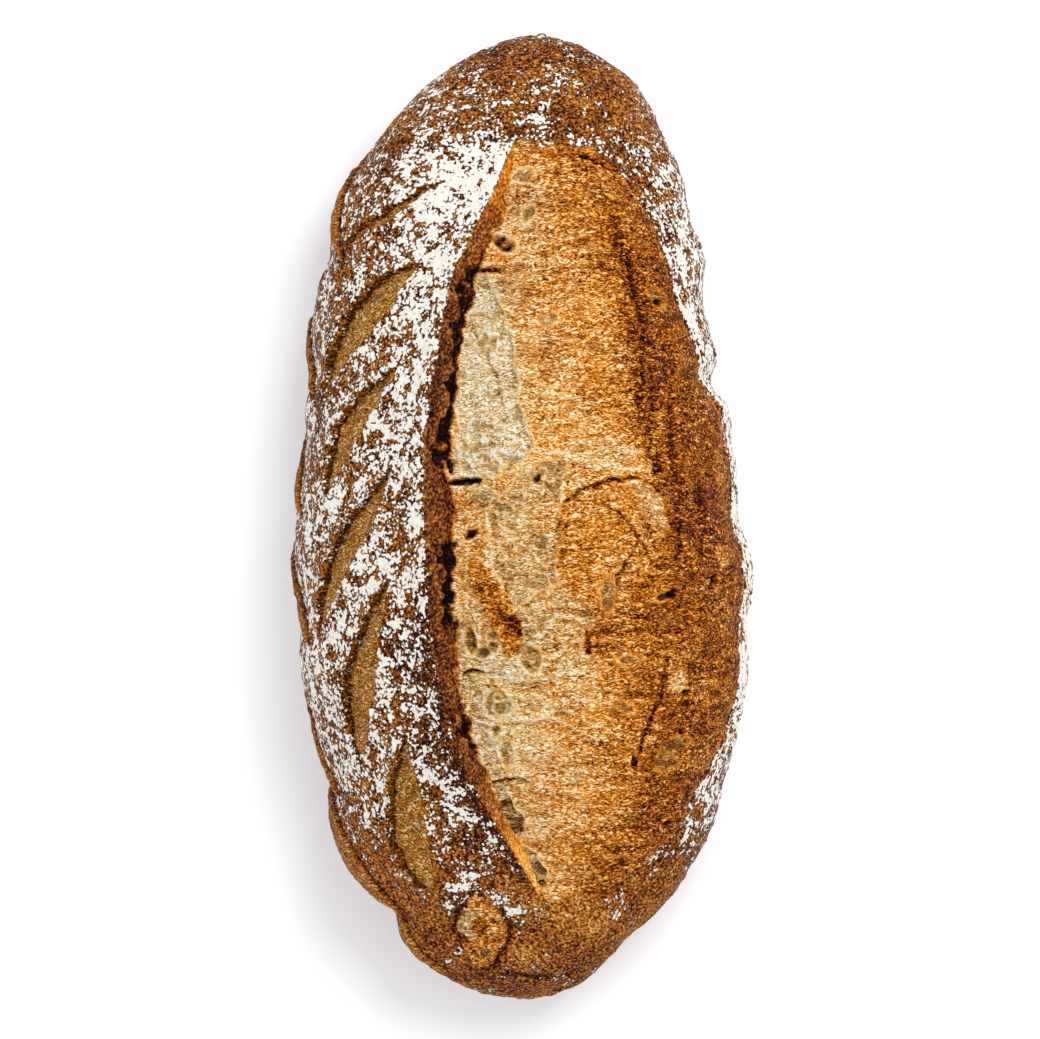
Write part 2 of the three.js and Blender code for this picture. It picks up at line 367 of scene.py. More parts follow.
def angle_at(x, y):
    """The angle at which the upper skin stands at x."""
    middle, left, right, *_ = section(y)
    half = np.where(x < middle, left, right)
    across = np.clip((x - middle) / np.maximum(half, SMALLEST), -WIDEST_SHARE, WIDEST_SHARE)
    return np.arccos(-np.sign(across) * np.abs(across) ** (SECTION_FULLNESS / 2))

# %% [markdown]
# ## The long cut
#
# The baker slides a blade under the skin, almost flat, along one side of the crown. In the oven the loaf
# tears open there: the flap curls up and chars into a lip, and the dough behind it wells up as the bloom.
# A groove cut out of a finished solid would give a flat, even edge. Here the lip is drawn as a small
# section of its own and swept along the cut, so it curls, thins and widens as the real one does.

# %% The cut's lines and the lip's section
LIP_LINE = [  # y, x of the lip's edge
    (-118, 7), (-100, -3), (-80, -14), (-50, -23), (-5, -27.5), (30, -26.7), (50, -23.8), (60, -22.2),
    (70, -20.2), (85, -14.2), (97, -8.6), (107, -5), (122, 2),
]
RIM_LINE = [  # y, x of the bloom's far side
    (-124, 9), (-112, 30), (-95, 48), (-83, 54.2), (-71, 60.3), (-56, 64.2), (-38, 66.4), (-20, 67),
    (3, 65.2), (17, 63), (30, 59.9), (45, 54.8), (65, 48.5), (85, 41.5), (95, 37), (104, 30.5),
    (112, 22), (122, 8),
]
CUT_NEAR_END, CUT_FAR_END, CUT_FADE = -121, 118, 26
BLOOM_RISE = 3.2
LIP_WIDTHS = [  # y, how wide the dark inner face of the lip is
    (-116, 1.6), (-109, 2.8), (-98, 3.2), (-86, 3.6), (-73, 4.4), (-60, 4.2), (-49, 4.3), (-37, 5.0),
    (-20, 5.8), (5, 6.0), (14, 5.2), (23, 5.4), (28, 5.4), (31, 5.9), (35, 6.4), (46, 5.4), (57, 5.6),
    (70, 5.6), (78, 5.0), (86, 5.2), (92, 5.8), (97, 4.4), (102, 3.2), (108, 2.6), (113, 1.6),
]
LIP_SECTION = [  # across, up
    (-18, 0), (-10, 0.8), (-5, 2.3), (-2, 3.7), (-0.5, 4.4), (0.5, 4.2), (1.4, 3.2), (2.6, 1.2),
    (3.8, -1.0), (4.8, -2.6), (6, -3.2), (8.5, -3.0), (14, -1.5), (24, 0),
]
LIP_FACE = 4.8  # the inner face's width in that section
FACE_STARTS, FACE_ENDS = (0, 1), (20, 9)  # where along the section a wider face stretches it
SECTION_STEPS = 400
lip_x = smooth_line(LIP_LINE)
rim_x = smooth_line(RIM_LINE)
lip_width = smooth_line(LIP_WIDTHS)


def openness(y):
    """How fully the cut is open: 1 along its middle, 0 beyond its ends."""
    near = step(CUT_NEAR_END, CUT_NEAR_END + CUT_FADE, y)
    return near * step(CUT_FAR_END, CUT_FAR_END - CUT_FADE, y)


def lip_section(count):
    """The section as count points evenly spaced along it."""
    fine = np.linspace(0, len(LIP_SECTION) - 1, SECTION_STEPS)
    across = smooth_line([(i, p[0]) for i, p in enumerate(LIP_SECTION)])(fine)
    up = smooth_line([(i, p[1]) for i, p in enumerate(LIP_SECTION)])(fine)
    along = np.concatenate([[0], np.cumsum(np.hypot(np.diff(across), np.diff(up)))])
    even = np.linspace(0, along[-1], count, endpoint=False)
    return np.interp(even, along, across), np.interp(even, along, up)

# %% [markdown]
# ## A net of points
#
# The crust is a net: rows that run round the loaf, set evenly from tip to tip, and columns that run
# along it. A sculpted ball or a subdivided box would work too, but their points know nothing of the cut.
# These columns follow it, so the lip's edge never falls between two of them. The top is fine enough for
# wrinkles a millimetre wide, and the underside, which lies flat, is coarser.

# %% Lay out the net
DENSITY = 1.0
ROWS = int(760 * DENSITY)
LEFT, LIP, BLOOM, RIGHT, UNDER = (int(n * DENSITY) for n in (190, 112, 170, 90, 130))
TIP_STEPS, ROUND_STEPS = 2000, 160  # how finely lengths are measured along the loaf and round it
LIP_SPREAD = 3.2  # makes a millimetre across the lip a millimetre on the skin
BLOOM_MIN_TURN = 0.5  # radians, the least that the bloom spans

turn = np.linspace(0, math.pi, TIP_STEPS)
tip_to_tip = np.stack([LENGTH / 2 * np.cos(turn), WIDTH / 2 * np.sin(turn)])
walked = np.concatenate([[0], np.cumsum(np.hypot(*np.diff(tip_to_tip)))])
row_y = np.interp(np.linspace(0, walked[-1], ROWS + 2)[1:-1], walked, tip_to_tip[0])[:, None]


def evenly(start, end, count):
    """count angles from start to end in each row, spaced evenly by length over the skin."""
    dense = mix(start, end, np.linspace(0, 1, ROUND_STEPS)[None, :])
    x, z, _, _ = skin(dense, row_y)
    length = np.hypot(np.diff(x, axis=1), np.diff(z, axis=1))
    walked = np.concatenate([np.zeros((ROWS, 1)), np.cumsum(length, axis=1)], axis=1)
    share = np.linspace(0, 1, count, endpoint=False)
    rows = [np.interp(share * walked[i, -1], walked[i], dense[i]) for i in range(ROWS)]
    return np.array(rows)


_, left, right, _, rise, _, roundness = section(row_y)
turn_per_mm = LIP_SPREAD / (left + right + rise + SMALLEST) * roundness
lip_angle = angle_at(lip_x(row_y), row_y)
rim_angle = np.maximum(angle_at(rim_x(row_y), row_y), lip_angle + BLOOM_MIN_TURN)
how_open = openness(row_y)

section_across, section_up = lip_section(LIP)
on_face = step(*FACE_STARTS, section_across) * step(*FACE_ENDS, section_across)
face_scale = mix(1.0, lip_width(row_y) / LIP_FACE, on_face)
flat_across = np.linspace(LIP_SECTION[0][0], LIP_SECTION[-1][0], LIP, endpoint=False)
lip_across = mix(flat_across, section_across * face_scale, how_open)

lip_start = lip_angle + LIP_SECTION[0][0] * turn_per_mm
bloom_start = lip_angle + LIP_SECTION[-1][0] * turn_per_mm
left_line = np.zeros_like(lip_start)
right_line = left_line + math.pi
stretches = [
    evenly(left_line, lip_start, LEFT),
    lip_angle + lip_across * turn_per_mm,
    evenly(bloom_start, rim_angle, BLOOM),
    evenly(rim_angle, right_line, RIGHT),
    evenly(right_line, left_line + 2 * math.pi, UNDER),
]
angle = np.concatenate(stretches, axis=1)
COLUMNS = angle.shape[1]
print(f"the net has {ROWS} rows of {COLUMNS} points")

# %% [markdown]
# ## The shape under the detail
#
# Each point starts on the skin and moves out along the skin's own direction: by the lip's section near
# the cut, and by a low swell over the bloom. What would sink below the table is pressed flat on it.

# %% Skin, lip and swell
across = (angle - lip_angle) / turn_per_mm  # mm over the skin from the lip's edge, more to the right
bloom_share = np.clip((angle - bloom_start) / (rim_angle - bloom_start), 0, 1)
swell = BLOOM_RISE * np.sin(math.pi * bloom_share) * how_open
lip_rise = np.zeros_like(angle)
lip_rise[:, LEFT : LEFT + LIP] = section_up * how_open
FLAT_SOFTNESS = 0.8  # mm, how gently the base runs out of its flat spot
NO_LENGTH = 1e-9


def pressed_flat(z):
    """z with a soft floor at 0."""
    return (z + np.sqrt(z**2 + FLAT_SOFTNESS**2)) / 2


x, z, out_x, out_z = skin(angle, row_y)
out = swell + lip_rise
along = np.broadcast_to(row_y, x.shape)
points = np.stack([x + out_x * out, along, pressed_flat(z + out_z * out)], -1)


def outward(points):
    """The direction out of the crust at each point of the net."""
    down_rows = np.gradient(points, axis=0)
    round_rows = np.roll(points, -1, axis=1) - np.roll(points, 1, axis=1)
    normal = np.cross(round_rows, down_rows)
    return normal / np.maximum(np.linalg.norm(normal, axis=-1, keepdims=True), NO_LENGTH)


middle_row = ROWS // 2
upward = outward(points)[middle_row, LEFT + LIP + BLOOM // 2, 2]
FACING = 1 if upward > 0 else -1
print(f"the bloom's middle faces {'up' if FACING * upward > 0 else 'down'}")

# %% [markdown]
# ## Which crust is where
#
# Before any detail, each point learns which kind of crust it is: floured skin, the lip's charred inner
# face, or the bloom. Each is a share from 0 to 1, not a cut between meshes, so one can fade into the
# next over a millimetre or so. The borders wander a little, since a tear never follows a ruler.

# %% Skin, lip face and bloom
TOP_END, BOTTOM_END = 114, -117  # where the bloom ends
END_MIDDLE = 12  # the x at which it ends furthest out
END_CURVE = 0.0022  # how fast the end draws back either side of that
SIDE_WOBBLE, END_WOBBLE = 1.3, 2.5  # mm, how far a border strays
FACE_OPENS = 0.25  # how open the cut is once its lip has a charred face
X, Y = points[..., 0], points[..., 1]
wobble = wander(points, 9, 11, layers=3)
from_rim = (rim_angle - angle) / turn_per_mm + SIDE_WOBBLE * wobble
end_curve = END_CURVE * (X - END_MIDDLE) ** 2
from_ends = np.minimum(TOP_END - Y, Y - BOTTOM_END) - end_curve + END_WOBBLE * wobble
face_edge = lip_width(row_y) + SIDE_WOBBLE * wander(points, 5, 12, layers=3)
bare = step(-0.4, 0.4, across) * step(-0.5, 0.5, from_rim) * step(-1.5, 1.5, from_ends)
lip_face = step(0.5, -0.5, across - face_edge) * step(0, FACE_OPENS, how_open) * bare
floured = 1 - bare
on_top = angle < math.pi
print(f"bloom and lip cover {100 * bare[:, : COLUMNS - UNDER].mean():.0f} % of the top")

# %% [markdown]
# ## Paths drawn on the loaf
#
# Leaves, cracks, streaks and burst bubbles are all drawn on the loaf from above, as a baker's blade does
# it. A path is a few points in millimetres. `to_path` measures how far every point of the crust is from
# it, on which side, and how far along; `within` does the same for a closed outline and `oval` for an
# oval. The distances are bent by the dough's wobble, so no edge comes out straight.

# %% Measure to a path, an outline and an oval
HAND = 0.7  # mm, how far a drawn edge strays from its points
bend_x = X + HAND * wander(points, 5, 13, layers=3)
bend_y = Y + HAND * wander(points, 5, 14, layers=3)


def to_path(path):
    """The distance to a path of (x, y) points, the side (1 left, -1 right of its course) and the share
    of it that is walked there."""
    nearest = np.full(X.shape, LENGTH)
    side, walked = np.zeros(X.shape), np.zeros(X.shape)
    for i, ((x0, y0), (x1, y1)) in enumerate(zip(path, path[1:])):
        run_x, run_y = x1 - x0, y1 - y0
        dx, dy = bend_x - x0, bend_y - y0
        share = np.clip((dx * run_x + dy * run_y) / (run_x**2 + run_y**2), 0, 1)
        gap = np.hypot(dx - share * run_x, dy - share * run_y)
        closer = gap < nearest
        nearest = np.where(closer, gap, nearest)
        side = np.where(closer, np.sign(run_x * dy - run_y * dx), side)
        walked = np.where(closer, (i + share) / (len(path) - 1), walked)
    return nearest, side, walked


def within(outline):
    """How far inside a closed outline each point lies, in mm; below 0 outside."""
    closed = [*outline, outline[0]]
    inside = np.zeros(X.shape, bool)
    for (x0, y0), (x1, y1) in zip(closed, closed[1:]):
        if y0 != y1:
            crosses = (y0 > bend_y) != (y1 > bend_y)
            inside ^= crosses & (bend_x < x0 + (bend_y - y0) * (x1 - x0) / (y1 - y0))
    return np.where(inside, 1, -1) * to_path(closed)[0]


def oval(x, y, long, wide, turn):
    """How far inside an oval each point lies, roughly in mm; turn is in degrees from the X axis."""
    c, s = math.cos(math.radians(turn)), math.sin(math.radians(turn))
    dx, dy = bend_x - x, bend_y - y
    return (1 - np.hypot((dx * c + dy * s) / long, (dy * c - dx * s) / wide)) * wide

# %% [markdown]
# ## Leaf-shaped scores
#
# Two rows of short cuts down the left flank open into leaves, like a wheat ear. The blade lies nearly
# flat, so each leaf has one sharp edge with a groove under it, where the skin above lifts, and a floor
# that rises to meet the skin on the other side. The upper row lies open. The lower row, on the turn of
# the flank, was pushed out from behind as the loaf rose, so its floors bulge.

# %% Cut the leaves
# Each upper leaf is a row of (x, y, half width) from its head to its foot.
UPPER_LEAVES = [
    [(-20.9, 104.4, 0), (-30.9, 98, 0.7), (-39.1, 92.4, 1.3), (-47.7, 87.6, 1), (-55.1, 82, 0)],
    [(-30, 77.5, 0), (-37.5, 72.6, 2), (-42.1, 67.3, 3.6), (-48, 60.4, 3.9), (-52.5, 53.4, 2.9),
     (-56.8, 45.7, 1.8), (-60.2, 37.3, 0)],
    [(-36.2, 45.8, 0), (-43.3, 38.6, 2), (-48.7, 32.4, 2.8), (-52.8, 25.6, 3.1), (-55.5, 19.3, 2.5),
     (-58.1, 12.7, 1.5), (-60.1, 5.6, 0)],
    [(-38.8, 15.8, 0), (-43, 7.6, 1.5), (-47.8, 0.3, 2.7), (-52.3, -7.5, 3.3), (-56, -14.8, 3.1),
     (-58.8, -22.5, 2), (-60.7, -29.6, 1.2), (-62.3, -37, 0)],
    [(-39.1, -18.5, 0), (-42.1, -26.2, 1.2), (-44.8, -34.2, 2.3), (-47.1, -42.4, 3.4), (-48.6, -51, 3.7),
     (-49.4, -58.7, 3.2), (-49.4, -67.3, 2.1), (-49.4, -75.5, 0)],
    [(-34.4, -64.5, 0), (-35.1, -73.5, 1.7), (-35.2, -81.5, 3.5), (-34.8, -89.7, 4.4),
     (-33.7, -97.8, 4.7), (-31.8, -105.3, 4.0), (-29.4, -110.7, 2.8), (-28, -115.5, 0)],
]
LEAF_DEPTH = 1.8
LEAF_LIFT, LIFT_REACH = 1.0, 4.5  # of the skin over the sharp edge
LEAF_SPREAD = 1.22  # the flank slopes, so a leaf is wider than it looks from above
FULL_HALF = 3  # a leaf with a smaller half width is shallower
FLOOR_EDGE = 0.3  # mm, how softly a floor meets the skin
# Each lower one runs from a head to a foot, as (degrees up the flank, y), with a width and a bow in mm.
LOWER_LEAVES = [
    ((-8, 117), (26, 78), 10, -2),
    ((-20, 74), (17, 36), 8, -2),
    ((-20, 34), (14, 0), 8, -2),
    ((-18, 0), (20, -40), 8, -2),
    ((-18, -42), (17, -88), 9, -2),
    ((-4, -82), (38, -123), 15, -3),
    ((4, -122), (38, -142), 11, 2),
]
FLANK_RADIUS = 64
LEAF_BULGE, BULGE_REACH = 1.7, 2.5
GROOVE_DEPTH, GROOVE_PLACE, GROOVE_WIDTH = 1.6, -0.2, 0.7  # round a lower leaf
BOW_FULLNESS = 0.8
END_STEEPNESS = 20

leaf_floor, lower_floor = np.zeros_like(angle), np.zeros_like(angle)
leaf_edge_toast_and_shade, leaf_relief = np.zeros_like(angle), np.zeros_like(angle)
for leaf in UPPER_LEAVES:
    gap, side, walked = to_path([(x, y) for x, y, _ in leaf])
    halves = [half for _, _, half in leaf]
    half = LEAF_SPREAD * np.interp(walked, np.linspace(0, 1, len(leaf)), halves)
    inside = half - gap
    from_sharp = half + gap * side  # mm from the sharp edge, over the floor
    floor_here = step(-FLOOR_EDGE, FLOOR_EDGE, inside) * on_top
    slope = step(2.2 * half + 0.1, 0, from_sharp)
    leaf_relief -= floor_here * LEAF_DEPTH * mix(0.2, 1.0, slope) * np.minimum(half / FULL_HALF, 1)
    beside = step(-LIFT_REACH, 0, inside) * step(FLOOR_EDGE, -FLOOR_EDGE, inside)
    leaf_relief += LEAF_LIFT * beside * (side < 0) * (half > 0.4)
    leaf_floor = np.maximum(leaf_floor, floor_here)
    # A dark line along the sharp edge: partly toasted crust, partly painted shade in the groove under it.
    edge_toast_and_shade = ridge(from_sharp, 0.35, 0.5) * (gap < half + 0.9) * step(0, 0.5, half)
    leaf_edge_toast_and_shade = np.maximum(leaf_edge_toast_and_shade, edge_toast_and_shade * on_top)

# %% Push out the lower row
flank_turn = np.where(on_top, angle, angle - 2 * math.pi)  # 0 on the left's widest line
flank = np.stack([flank_turn * FLANK_RADIUS, Y], -1)
for (head_turn, head_y), (foot_turn, foot_y), width, bow in LOWER_LEAVES:
    head = np.array([math.radians(head_turn) * FLANK_RADIUS, head_y])
    foot = np.array([math.radians(foot_turn) * FLANK_RADIUS, foot_y])
    span = np.linalg.norm(head - foot)
    axis = (head - foot) / span
    share = (flank - foot) @ axis / span
    arch = np.sin(math.pi * np.clip(share, 0, 1))
    side = (flank - foot) @ np.array([axis[1], -axis[0]]) - bow * arch
    beyond = END_STEEPNESS * (np.maximum(-share, 0) + np.maximum(share - 1, 0))
    inside = width / 2 * arch**BOW_FULLNESS - np.abs(side) - beyond + 0.5 * wobble
    leaf_relief += LEAF_BULGE * step(-BULGE_REACH, BULGE_REACH, inside)
    leaf_relief -= GROOVE_DEPTH * ridge(inside, GROOVE_PLACE, GROOVE_WIDTH)
    lower_floor = np.maximum(lower_floor, step(-FLOOR_EDGE, FLOOR_EDGE, inside))
    # A dark line in the groove round a lower leaf, painted as its shade.
    leaf_edge_toast_and_shade = np.maximum(leaf_edge_toast_and_shade, 0.8 * ridge(inside, GROOVE_PLACE, 0.6))
for share in (leaf_floor, lower_floor, leaf_edge_toast_and_shade, leaf_relief):
    share *= floured
print(f"the leaves run from {leaf_relief.min():.1f} to {leaf_relief.max():.1f} mm")

# %% [markdown]
# ## How brown the bloom is
#
# The bloom is dough that was inside a minute before it baked. Next to the lip it opened last and stayed
# pale; the middle turned gold; the right side opened first, baked longest and is brown. Two small maps
# say how light each stretch is and how much of it is pale crumb rather than gold. Each row of a map lies
# at one y and runs from the lip to the rim in equal steps.

# %% Light and pale maps
SOFT_SHARE = 0.999  # keeps the last place within the map
DRIFT = 3  # mm, how far the maps stray along the loaf
SLANT_COS, SLANT_SIN = 0.96, 0.28  # the bloom's streaks lean by 16 degrees
BLOOM_MAP = [  # y, how light at six places, how pale at six places
    (113, (0.54, 0.50, 0.44, 0.38, 0.33, 0.29), (0.2, 0.0, 0, 0, 0, 0)),
    (107, (0.56, 0.54, 0.46, 0.40, 0.35, 0.30), (0.3, 0.2, 0, 0, 0, 0)),
    (95, (0.62, 0.51, 0.45, 0.40, 0.37, 0.30), (0.6, 0.4, 0, 0, 0, 0)),
    (80, (0.57, 0.59, 0.51, 0.42, 0.27, 0.25), (0.3, 0.4, 0.1, 0, 0, 0)),
    (65, (0.65, 0.63, 0.57, 0.50, 0.25, 0.23), (0.7, 0.4, 0.1, 0, 0, 0)),
    (50, (0.67, 0.62, 0.59, 0.54, 0.25, 0.24), (0.8, 0.4, 0.1, 0, 0, 0)),
    (35, (0.68, 0.64, 0.59, 0.50, 0.23, 0.26), (0.9, 0.5, 0.1, 0, 0, 0)),
    (18, (0.65, 0.62, 0.59, 0.60, 0.28, 0.26), (0.8, 0.5, 0.1, 0.1, 0, 0)),
    (3, (0.59, 0.60, 0.54, 0.50, 0.22, 0.22), (0.4, 0.7, 0.3, 0.0, 0, 0)),
    (-13, (0.57, 0.60, 0.50, 0.49, 0.22, 0.20), (0.4, 0.7, 0.1, 0, 0, 0)),
    (-28, (0.61, 0.60, 0.58, 0.40, 0.28, 0.27), (0.5, 0.6, 0.5, 0.1, 0, 0)),
    (-43, (0.65, 0.67, 0.63, 0.40, 0.31, 0.28), (0.7, 0.8, 0.4, 0, 0, 0)),
    (-61, (0.68, 0.72, 0.62, 0.44, 0.29, 0.26), (0.8, 0.6, 0.2, 0, 0, 0)),
    (-82, (0.62, 0.66, 0.58, 0.44, 0.26, 0.23), (0.6, 0.5, 0.1, 0, 0, 0)),
    (-100, (0.60, 0.60, 0.54, 0.41, 0.30, 0.25), (0.5, 0.3, 0.1, 0, 0, 0)),
    (-114, (0.52, 0.53, 0.47, 0.39, 0.32, 0.26), (0.3, 0.1, 0, 0, 0, 0)),
]


def mapped(column):
    """One of the two maps, read at every point and smoothed between its places."""
    places = len(BLOOM_MAP[0][column])
    upward = BLOOM_MAP[::-1]
    lines = [smooth_line([(row[0], row[column][i]) for row in upward]) for i in range(places)]
    lip_at = lip_x(Y) + lip_width(Y)
    share = (bend_x + 2 * wobble - lip_at) / (rim_x(Y) - lip_at)
    share = np.clip(share, 0, SOFT_SHARE) * (places - 1)
    values = np.stack([line(Y + DRIFT * wobble) for line in lines])
    first = np.floor(share).astype(int)
    low = np.take_along_axis(values, first[None], 0)[0]
    high = np.take_along_axis(values, first[None] + 1, 0)[0]
    return mix(low, high, step(0, 1, share - first))


light, pale = mapped(1), mapped(2)
pale = np.clip(pale + 0.35 * wander(points * [1, 0.8, 1], 7, 42, layers=3), 0, 1)
print(f"before its marks the bloom is {light[bare > 0.5].mean():.2f} light")

# %% [markdown]
# ## Streaks and the rim
#
# Two things break up that even browning. Patches and streaks lean across the tear, since the dough was
# pulled that way. And beside the right rim the crust is creased lengthwise, with a painted highlight on
# its edge, painted shade in its valley and a painted line of shadow where it meets the skin. A painted
# picture could hold all this, but sums of chance and distance stay sharp at any size.

# %% Streak the bloom and edge it
leaned_x = X * SLANT_COS + Y * SLANT_SIN
leaned_y = Y * SLANT_COS - X * SLANT_SIN
aslant = np.stack([leaned_x, leaned_y, points[..., 2]], -1) + 2.5 * wobble[..., None]
light += 0.06 * wander(aslant, 16, 41, layers=3)
light += 0.07 * wander(aslant * [0.4, 1.3, 0.8], 6, 43, layers=3)

nothing = np.zeros_like(X)
rim_gap = np.maximum(from_rim, 0)
lengthwise = wander(np.stack([1.5 * from_rim + wobble, 0.13 * Y, nothing], -1), 3.0, 76, layers=2)
# Painted highlight on the crease's edge and painted shade in its valley; then lengthwise streaks and a
# painted line of shadow where the bloom meets the skin.
light += 0.06 * ridge(rim_gap, 2.0, 1.1) - 0.07 * ridge(rim_gap, 5.0, 1.8)
light += 0.12 * lengthwise * np.exp(-rim_gap / 7) - 0.15 * ridge(rim_gap, 0.2, 0.45)

# %% [markdown]
# ## Burst bubbles, folds and cracks
#
# Bubbles that burst late leave hollows with a thin bright rim, and the drying crust folds, cracks and
# slips over itself. Chance alone would give a loaf with no face of its own. These are what tell one from
# another, so they are listed one by one: areas, ovals, strokes and holes, each with how light and how
# pale it is and how high it stands.

# %% List the marks on the bloom
# Areas: an outline, how light, how pale, how high in mm.
AREAS = [
    # the pale crumb strip beside the lip
    ([(-16.6, 69.4), (-11.1, 74.8), (-9.3, 71.2), (-6.6, 63.7), (-3.6, 56.1), (-2.4, 50.4),
      (-1.5, 42), (-0.6, 34.5), (1.5, 27.8), (4.2, 21.2), (0.6, 16.7), (-5.1, 13.7), (-10.8, 11.9),
      (-16.6, 10.1), (-19, 23), (-19, 35), (-18, 50.4)], 0.76, 1.0, -1.0),
    # the hollow in the middle
    ([(-10.2, -1), (-9.6, 4.1), (-6.6, 5.9), (-2.7, 8), (-1.8, 11), (2.4, 13.1), (7.8, 17),
      (12.9, 16.1), (13.2, 13.1), (11.7, 8.9), (12.3, 2), (12, -6.2), (10.2, -10), (10.5, -15.2),
      (11.4, -21.2), (6.3, -22.1), (2.4, -24.2), (-1.8, -27.2), (-4.2, -24.2), (-6.3, -19.1),
      (-7.8, -14)], 0.6, 0.7, -1.1),
    # two small hollows at the lip's near end
    ([(-5.7, -86.2), (-3.3, -85.3), (0.3, -91.4), (1.2, -95.9), (-1.2, -97.4), (-4.8, -89.9)
     ], 0.44, 0.8, -1.4),
    ([(-0.6, -98.9), (2.7, -100.4), (7.8, -109.4), (8.7, -113.3), (6.3, -113.9), (1.8, -106.4)
     ], 0.5, 0.8, -1.4),
    # the pale side of the fold
    ([(31, 11), (37.9, 10.4), (43, 5), (44.5, -2.6), (42.4, -5.6), (38.8, -1), (35.8, 5)
     ], 0.62, 0.5, -0.4),
    # the burnt lump's golden head
    ([(-18.5, 6), (-12, 2), (-10, -2), (-8.3, -9), (-10.5, -13.8), (-15.2, -13.2), (-18, -6)
     ], 0.6, 0.1, 0.3),
    # the burnt lump
    ([(-15.2, -13.2), (-10.5, -13.8), (-5.8, -20.6), (-1.7, -28.7), (1.6, -34.7), (1.3, -38.1),
      (-2.4, -43.5), (-5.1, -41.5), (-5.8, -38.1), (-7.8, -32.7), (-11.8, -27.3), (-14.5, -20.6)
     ], 0.39, 0.0, 0.6),
    # its dark side
    ([(-7.5, -23), (-4.5, -22.5), (-1.7, -28.7), (1.6, -34.7), (1.3, -38.1), (-2.4, -43.5),
      (-5.1, -41.5), (-5.8, -38.1), (-6.8, -31)], 0.36, 0.0, 0.3),
    # its black foot
    ([(-4.4, -28.7), (-1.7, -30), (1.6, -34.7), (1.3, -37.1), (-1.4, -35.4), (-3.7, -31.7)
     ], 0.07, 0.0, 0.2),
    # the slab that slipped right of the hollow
    ([(13.2, 4), (18.4, 7), (27.4, 10), (34, 4), (37, -6), (33, -13), (28.3, -18.2), (27, -26),
      (20, -28), (13, -22)], 0.5, 0.0, 0.7),
]
# Ovals: x, y, half length, half width, turn, how light, how pale, how high in mm.
OVALS = [
    (7.5, 0, 5.5, 4.4, 70, 0.62, 0.3, 0.6),
    (-8.2, -35.6, 1.5, 1.1, 20, 0.50, 0.8, -0.5),
    (-11.5, -41, 1.8, 1.5, 20, 0.42, 0.8, -0.8),
    (-8.5, -39.4, 1.5, 1.2, 100, 0.46, 0.8, -0.6),
    (-6.6, -56.7, 4.2, 3.8, 60, 0.60, 0.9, -0.5),
    (-6.2, -57.6, 1.9, 1.6, 60, 0.48, 0.9, -0.7),
    (-4.2, -71.8, 3.2, 1.7, 95, 0.54, 0.9, -0.8),
    (-7.5, -65, 1.6, 1.1, 40, 0.45, 0.9, -0.6),
    (3.3, -43, 3.6, 2.7, 100, 0.52, 0.9, -0.8),
    (-14.6, -37.5, 3.4, 1.6, 95, 0.36, 0.8, -1.0),
    (2.4, 92.0, 2.6, 1.6, 80, 0.60, 0.9, -0.5),
    (0.8, 103.5, 2.6, 1.4, 20, 0.55, 0.9, -0.5),
    (26.5, -23.6, 4.2, 1.8, 95, 0.50, 0.7, -0.8),
    (23.5, -37.2, 5, 4, 60, 0.34, 0, -0.3),
    (32.8, -43.2, 2.7, 1.0, 10, 0.38, 0.7, -0.5),
    (31, -57.3, 2.5, 1.1, 160, 0.46, 0.5, -0.4),
    (43.3, -24.2, 1.8, 1.0, 20, 0.30, 0.5, -0.5),
    (47.9, -50, 3.4, 2.4, 80, 0.62, 0.3, 0.2),
    (46, -71.5, 6, 3.2, 55, 0.38, 0.5, -0.3),
    (41.2, 66.7, 3.2, 1.6, 130, 0.42, 0.6, -0.5),
    (24, 19, 11, 4.2, 175, 0.67, 0.35, 0.5),
    (8, 59, 3.0, 1.4, 10, 0.60, 0.8, -0.4),
    (55.4, 26.2, 3.2, 1.5, 110, 0.20, 0.3, -0.6),
    (59.3, 14.5, 4.5, 1.3, 100, 0.50, 0, 0.3),
    (60.8, -13, 3.0, 1.2, 95, 0.48, 0, 0.3),
    (54.8, 5, 4.6, 1.1, 98, 0.07, 0, -0.6),
    (-5, 82.8, 3.4, 2.0, 150, 0.40, 0.7, -1.0),
    (53.5, -3, 9, 1.6, 95, 0.22, 0, -0.3),
    (57, 20, 10, 2.0, 100, 0.24, 0, -0.3),
    (41.6, 15.3, 3.4, 1.3, 85, 0.14, 0, -0.6),
]
